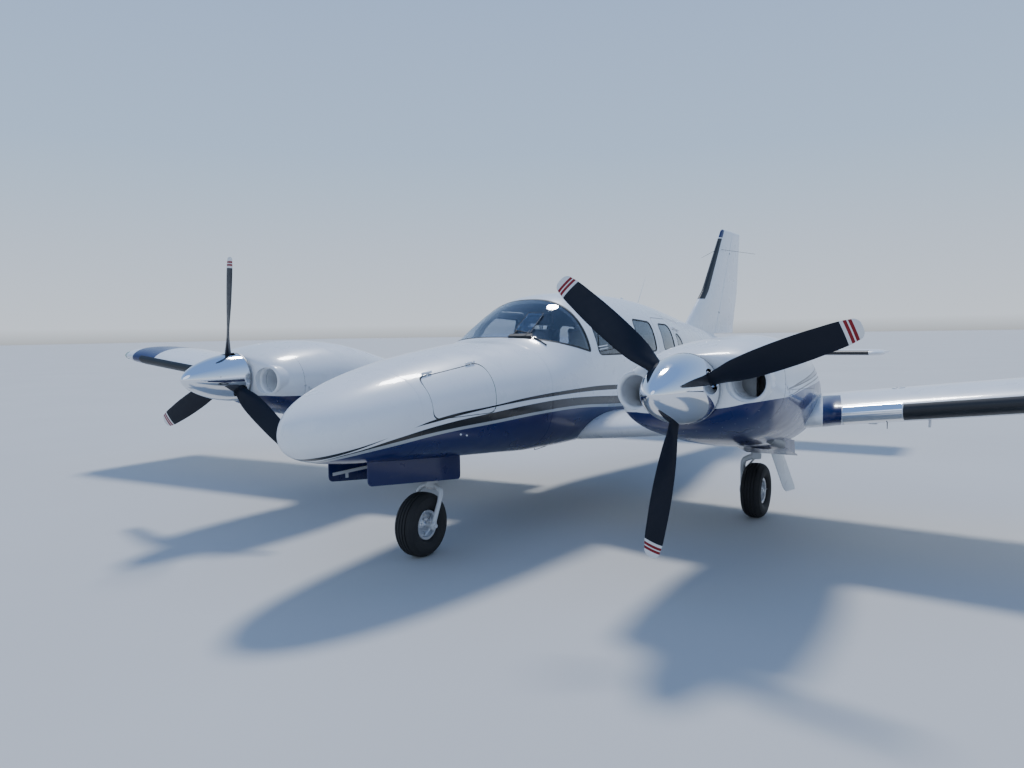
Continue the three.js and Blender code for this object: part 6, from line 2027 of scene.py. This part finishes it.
def linePath(shell, stations, index):
    return [ringPath(shell, s)[index] for s in stations]


rivetFrames = {"tail": (5.26, 5.70, 6.15, 6.60, 7.05, 7.45), "nose": (0.700, 1.945),
               "lines": (8, 24, 40, 56, 80, 112)}


def bodyRivets():
    def clearOfTail(x, s, z):
        return not (abs(x) < 0.10 and z > 1.30)

    def clearOfNose(x, s, z):
        return z > 0.86
    paths = []
    for s in rivetFrames["tail"]:
        paths += kept(ringPath(body, s), clearOfTail)
    for index in rivetFrames["lines"]:
        paths += kept(linePath(body, evenly(5.20, 7.60, 0.1), index), clearOfTail)
    for s in rivetFrames["nose"]:
        paths += kept(ringPath(body, s), clearOfNose)
    headsAlong("bodyRivets", "rivet", paths, "airframe", bodyPaint)


def podSpot(pod, s, height, hand):
    half, top, bottom, waist, crown, belly = pod.sizes(s)
    z = waist + height * ((top - waist) if height > 0 else (waist - bottom))
    across = hand * pod.side(s, z)
    return (pod.centreX + across, s, z + pod.cant * across)


latches = {"stations": (1.468, 1.509, 1.552), "heights": (0.02, -0.05, -0.14), "radius": 0.0085,
           "proud": 0.0025}
seams = {"cowl": 1.467, "wide": 0.0022, "split": -0.10}


def cowlDetails():
    for hand, side in sides.items():
        pod = Shell(nacelleRows, side * engineX, nacelleCant * side)
        seam = pod.layer("seam", [seams["cowl"] - seams["wide"] / 2, seams["cowl"] + seams["wide"] / 2],
                         -0.0004, 0.004)
        fit(seam, f"cowl_{hand}_seam", "airframe", sealRubber)
        screws = [path for s in (1.262, 1.480, 2.268)
                  for path in kept(ringPath(pod, s), lambda x, y, z: z > 0.80)]
        headsAlong(f"cowl_{hand}_screws", "screw", screws, "airframe", steel)
        parts = []
        for across in (1, -1):
            for s, height in zip(latches["stations"], latches["heights"]):
                spot = Vector(podSpot(pod, s, height, across))
                out = Vector((across * latches["proud"], 0, 0))
                parts.append(rod("latch", spot - out, spot + out, latches["radius"], count=20, soft=0.0008))
            line = [podSpot(pod, s, seams["split"], across) for s in evenly(1.50, 2.27, 0.07)]
            split = swept("split", line, 0.0011, 6)
            fit(split, f"cowl_{hand}_split_{'outer' if across == side else 'inner'}", "airframe",
                sealRubber)
        fit(joined("latches", parts), f"cowl_{hand}_latches", "airframe", steel)


exhaust = {"out": 0.215, "front": 2.10, "back": 2.40, "radius": 0.033, "wall": 0.003, "drop": 0.055}


def exhausts():
    for hand, side in sides.items():
        pod = Shell(nacelleRows, side * engineX, nacelleCant * side)
        half, top, bottom, waist, crown, belly = pod.sizes(exhaust["front"])
        low = waist - (waist - bottom) * (1 - (exhaust["out"] / half) ** belly) ** (1 / belly)
        low += pod.cant * side * exhaust["out"]
        x = side * (engineX + exhaust["out"])
        start = Vector((x, exhaust["front"], low + 0.02))
        end = Vector((x, exhaust["back"], low - exhaust["drop"]))
        r, wall, run = exhaust["radius"], exhaust["wall"], (end - start).length
        profile = [(r - wall, run - 0.10), (r - wall, run), (r, run), (r, 0.0), (0, 0.0), (0, run - 0.10)]
        fit(lathe("pipe", profile, start, end - start, 32), f"exhaust_{hand}", "airframe",
            castMetal)


def spinnerBolts():
    for hand, side in sides.items():
        s, radius = spinnerRim["station"], spinnerRim["radius"]
        path = []
        for i in range(49):
            turn = 2 * math.pi * i / 48
            way = (math.cos(turn), 0.0, math.sin(turn))
            path.append(((side * engineX + radius * way[0], s, propZ + radius * way[2]), way))
        headsAlong(f"spinner_{hand}_screws", "bolt", [path], f"propeller_{hand}", steel)


spinnerRim = {"station": 1.132, "radius": 0.1955}


# Aerials, lights and small fittings. Places are x, station, height
whiskers = {"base": (0.0, 7.680, 2.650), "long": 0.60, "angle": 140, "droop": 0.06, "radius": 0.003}
whip = {"base": 4.885, "top": (0.0, 5.137, 2.134), "radius": 0.0035}
bladeAerial = {"front": 4.445, "back": 4.535, "tall": 0.048, "half": 0.006}


def aerials():
    parts = [rod("whisker hub", Vector(whiskers["base"]) - Vector((0.03, 0, 0)),
                 Vector(whiskers["base"]) + Vector((0.03, 0, 0)), 0.011, soft=0.003)]
    turn = math.radians(whiskers["angle"])
    for way in (1, -1):
        base = Vector(whiskers["base"])
        reach = Vector((way * math.sin(turn), -math.cos(turn), 0)) * whiskers["long"]
        tip = base + reach - Vector((0, 0, whiskers["droop"]))
        parts.append(rod("whisker", base, tip, whiskers["radius"], whiskers["radius"] * 0.6, 10))
    fit(joined("whiskers", parts), "finWhiskers", "airframe", darkPlastic)
    roof = body.topAt(whip["base"], 0)
    foot = Vector((0, whip["base"], roof))
    parts = [rod("foot", foot - Vector((0, 0, 0.01)), foot + Vector((0, 0.006, 0.026)), 0.014, 0.007,
                 soft=0.002),
             rod("whip", foot, whip["top"], whip["radius"], 0.0012, 10)]
    fit(joined("whip", parts), "roofWhip", "airframe", whitePaint)
    a = bladeAerial
    outline = [(a["front"], body.topAt(a["front"], 0) - 0.004), (a["back"], body.topAt(a["back"], 0) - 0.004),
               (a["back"] - 0.004, body.topAt(a["back"], 0) + a["tall"]),
               (a["front"] + 0.040, body.topAt(a["front"], 0) + a["tall"])]
    blade = sidePrism("blade aerial", outline, -a["half"], a["half"])
    fit(bevelled(blade, 0.003), "roofBladeAerial", "airframe", whitePaint)
    x, s, z = bellyWire["foot"]
    low = body.sizes(s)[2]
    path = [(x, s, low + 0.004), (x, s, low - 0.050), (x, s + 0.012, low - 0.068),
            (x, s + bellyWire["back"], low - 0.062)]
    fit(swept("belly wire", smoothPath(path, 5), 0.0028, 10), "bellyWire", "airframe",
        darkPlastic)


bellyWire = {"foot": (0.0, 2.70, 0.60), "back": 0.20}

# Heated plate on the left half of the windshield: corners as x, station; lift from the skin, thickness
heatedPlate = {"corners": ((0.151, 2.177), (0.146, 2.399), (0.265, 2.429), (0.290, 2.174)), "lift": 0.014,
               "thick": 0.004, "bracket": ((0.146, 2.083), (0.323, 2.148)),
               "cable": ((0.340, 2.151), (0.385, 2.147), (0.455, 2.142))}


def windshieldPlate():
    p = heatedPlate
    rings = []
    for lift in (p["lift"], p["lift"] + p["thick"]):
        rings.append([(x, s, body.topAt(s, x) + lift) for x, s in p["corners"]])
    fit(loft("plate", rings), "heatedPlate", "airframe", glassLook)
    edge = rings[0] + rings[0][:1]
    parts = [rod("edge", a, b, 0.0038, count=8) for a, b in zip(edge, edge[1:])]
    (xa, sa), (xb, sb) = p["bracket"]
    foot = [(xa, sa), (xb, sb), (xb - 0.012, sb + 0.030), (xa - 0.002, sa + 0.034)]
    parts.append(loft("bracket",
                      [[(x, s, body.topAt(s, x) + lift) for x, s in foot] for lift in (-0.006, 0.016)]))
    for x, s in ((0.17, 2.10), (0.27, 2.13)):
        parts.append(rod("arm", (x, s, body.topAt(s, x) + 0.010),
                         (x, s + 0.075, body.topAt(s + 0.075, x) + p["lift"]), 0.005, count=8))
    cable = [(x, s, body.topAt(s, x) + 0.006) for x, s in p["cable"]]
    parts.append(swept("cable", smoothPath(cable, 6), 0.006, 10))
    fit(joined("plate fittings", parts), "heatedPlateFittings", "airframe", darkPlastic)


# Small window in the left front pane: station and height of its corners, and its two bars
stormWindow = {"corners": ((2.712, 1.374), (2.985, 1.392), (2.990, 1.560), (2.800, 1.560)),
               "bars": (0.018, 0.040), "barEnd": 0.55, "radius": 0.0032}


def stormFrame():
    def on(s, z):
        return (body.side(s, z) + 0.0015, s, z)
    corners = stormWindow["corners"]
    path = [on(*p) for p in rounded(list(corners), 0.02)]
    parts = [swept("frame", path + path[:1], stormWindow["radius"], 8)]
    fit(joined("storm frame", parts), "stormWindowFrame", "airframe", sealRubber)
    bars = []
    for lift in stormWindow["bars"]:
        run = [Vector(corners[0]).lerp(Vector(corners[1]), stormWindow["barEnd"] * k / 6) for k in range(7)]
        bars.append(swept("bar", [on(p.x + 0.006, p.y + lift) for p in run], 0.0040, 8))
    fit(joined("bars", bars), "stormWindowBars", "airframe", whitePaint)


# Pull handles on the doors: piece, body, side, station, height
handles = [("front_door", -1, 3.330, 1.150), ("rear_door", 1, 4.450, 1.180), ("cargo_door", 1, 4.745, 0.985)]
markDots = {"places": ((1.009, 0.897), (1.069, 0.884)), "radius": 0.009}


def handlesAndMarks():
    for name, side, s, z in handles:
        plate = [(side * (body.side(p, z) + 0.001), p, z) for p in evenly(s - 0.060, s + 0.060, 0.02)]
        grip = [(side * (body.side(p, z) + 0.011), p, z) for p in evenly(s - 0.045, s + 0.045, 0.015)]
        parts = [swept("plate", plate, [0.006] + [0.015] * 5 + [0.006], 16, 0.22),
                 swept("grip", grip, 0.0055, 10, 0.8)]
        for end in (s - 0.040, s + 0.040):
            parts.append(rod("post", (side * (body.side(end, z) - 0.004), end, z),
                             (side * (body.side(end, z) + 0.012), end, z), 0.005))
        fit(joined("handle", parts), f"{name}_handle", name, steel)
    dots = [rod("dot", (body.side(s, z) - 0.004, s, z), (body.side(s, z) + 0.0006, s, z), markDots["radius"])
            for s, z in markDots["places"]]
    fit(joined("dots", dots), "sideMarks", "airframe", whitePaint)


lensLook = {"left": (0.42, 0.010, 0.012, 1), "right": (0.010, 0.24, 0.075, 1)}
wickAt = {"x": (3.75, 4.40, 5.05), "long": 0.10, "radius": 0.0018}
fuelCap = {"places": ((2.78, 2.93), (4.30, 2.93)), "radius": 0.042}
underWing = {"spike": (2.74, 2.70, 0.045), "pitot": (2.98, 2.86, 0.050), "ring": (3.62, 3.05, 0.030)}


def wingFittings():
    for hand, side in sides.items():
        lens = wrapStrip("lens", evenly(5.790, 5.868, 0.013), wingSkinPoint(side), (0.035, 0.035), 0.004)
        look = newLook(f"lens_{hand}", Base_Color=lensLook[hand], Roughness=0.08, Coat_Weight=1.0)
        fit(lens, f"wing_{hand}_lens", "airframe", look)
        wicks = []
        for x in wickAt["x"]:
            end = Vector(wingPoint(x, 0.992, camberAt(0.992), side))
            wicks.append(rod("wick", end, end + Vector((0, wickAt["long"], -0.004)), wickAt["radius"],
                             0.0009, 8))
        fit(joined("wicks", wicks), f"aileron_{hand}_wicks", f"aileron_{hand}", darkPlastic)
        caps = []
        for x, s in fuelCap["places"]:
            point, way = wingSpot(side, x, (s - wing["front"]) / wing["chord"], 1)
            point, way = Vector(point), Vector(way)
            caps.append(rod("cap", point - way * 0.004, point + way * 0.003, fuelCap["radius"], count=32,
                            soft=0.0015))
            caps.append(rod("tab", point, point + way * 0.006, fuelCap["radius"] * 0.35, count=16,
                            soft=0.001))
        fit(joined("caps", caps), f"fuelCaps_{hand}", "airframe", steel)
        x, s, deep = underWing["ring"]
        point = Vector(wingSpot(side, x, (s - wing["front"]) / wing["chord"], -1)[0])
        loop = [point + Vector((0, 0.014 * math.cos(a), -0.012 - 0.014 * math.sin(a)))
                for a in (math.pi * (-0.35 + 1.7 * k / 14) for k in range(15))]
        fit(swept("ring", loop, 0.003, 8), f"tieRing_{hand}", "airframe", steel)
    x, s, deep = underWing["spike"]
    point = Vector(wingSpot(1, x, (s - wing["front"]) / wing["chord"], -1)[0])
    fit(rod("spike", point + Vector((0, 0, 0.01)), point - Vector((0, 0, deep)), 0.0035, 0.002, 10),
        "underWingSpike", "airframe", darkPlastic)
    x, s, deep = underWing["pitot"]
    point = Vector(wingSpot(1, x, (s - wing["front"]) / wing["chord"], -1)[0])
    outline = [(s - 0.035, point.z + 0.012), (s + 0.045, point.z + 0.012), (s + 0.030, point.z - deep),
               (s - 0.045, point.z - deep)]
    fit(bevelled(sidePrism("pitot", outline, x - 0.007, x + 0.007), 0.003), "pitotMast", "airframe",
        whitePaint)
    print("small fittings made")


wingRivets()
bodyRivets()
cowlDetails()
exhausts()
spinnerBolts()
aerials()
windshieldPlate()
stormFrame()
handlesAndMarks()
wingFittings()


# The floor, the soft light and the camera
stage = {"floor": (0.50, 0.50, 0.49, 1), "reach": 300.0, "ground": (0.34, 0.34, 0.33, 1),
         "zenith": (0.20, 0.36, 0.74, 1),
         "horizon": ((0.25, (0.80, 0.88, 0.98, 1)), (0.45, (0.50, 0.68, 0.95, 1)))}


def studio():
    half = stage["reach"]
    floor = newObject("floor", [(-half, -half, 0), (half, -half, 0), (half, half, 0), (-half, half, 0)],
                      [(0, 1, 2, 3)])
    look = newLook("floorPaint", Roughness=0.85)
    coordinates = placeIn(look)[0]
    feed(look, "Base Color",
         mixed(look, noise(look, coordinates, 0.35, 4.0), stage["floor"], (0.57, 0.57, 0.56, 1)))
    floor.data.materials.append(look)

    world = bpy.data.worlds.new("sky")
    bpy.context.scene.world = world
    world.use_nodes = True
    tree = world.node_tree
    place = tree.nodes.new("ShaderNodeTexCoord")
    apart = tree.nodes.new("ShaderNodeSeparateXYZ")
    height = tree.nodes.new("ShaderNodeMapRange")
    height.inputs[1].default_value, height.inputs[2].default_value = -0.25, 0.80
    tone = tree.nodes.new("ShaderNodeValToRGB")
    tone.color_ramp.elements[0].color = stage["ground"]
    tone.color_ramp.elements[0].position = 0.22
    tone.color_ramp.elements[1].color = stage["zenith"]
    for spot, colour in stage["horizon"]:
        tone.color_ramp.elements.new(spot).color = colour
    tree.links.new(place.outputs["Generated"], apart.inputs[0])
    tree.links.new(apart.outputs[2], height.inputs[0])
    tree.links.new(height.outputs[0], tone.inputs[0])
    tree.links.new(tone.outputs[0], tree.nodes["Background"].inputs[0])
    tree.nodes["Background"].inputs[1].default_value = 1.0

    for name, place, power, angle in lights:
        lamp = bpy.data.lights.new(name, "SUN")
        lamp.energy, lamp.angle = power, math.radians(angle)
        obj = bpy.data.objects.new(name, lamp)
        obj.rotation_euler = Vector(place).to_track_quat("Z", "Y").to_euler()
        bpy.context.scene.collection.objects.link(obj)


# Name, where it shines from, strength, how wide it looks in degrees
lights = [("keyBehind", (-0.25, 0.60, 1.0), 2.6, 10), ("fillFront", (0.15, -1.0, 0.75), 0.25, 40)]
# The photograph's own view: place in metres, turns in radians, focal length in pixels of a 1024-pixel width
view = {"place": (3.3990, -7.2968, 1.5357), "yaw": -0.5708, "pitch": -0.0659, "roll": -0.0160,
        "focal": 771.405, "width": 1024}


def photoCamera():
    yaw, pitch, roll = view["yaw"], view["pitch"], view["roll"]
    ahead = Vector((math.sin(yaw) * math.cos(pitch), math.cos(yaw) * math.cos(pitch), math.sin(pitch)))
    level = Vector((math.cos(yaw), -math.sin(yaw), 0))
    rise = level.cross(ahead)
    right = level * math.cos(roll) + rise * math.sin(roll)
    up = rise * math.cos(roll) - level * math.sin(roll)
    data = bpy.data.cameras.new("photoView")
    data.sensor_width = 36
    data.lens = view["focal"] / view["width"] * data.sensor_width
    camera = bpy.data.objects.new("photoView", data)
    turn = Matrix((right, up, -ahead)).transposed().to_4x4()
    camera.matrix_world = Matrix.Translation(view["place"]) @ turn
    bpy.context.scene.collection.objects.link(camera)
    bpy.context.scene.camera = camera


studio()
photoCamera()
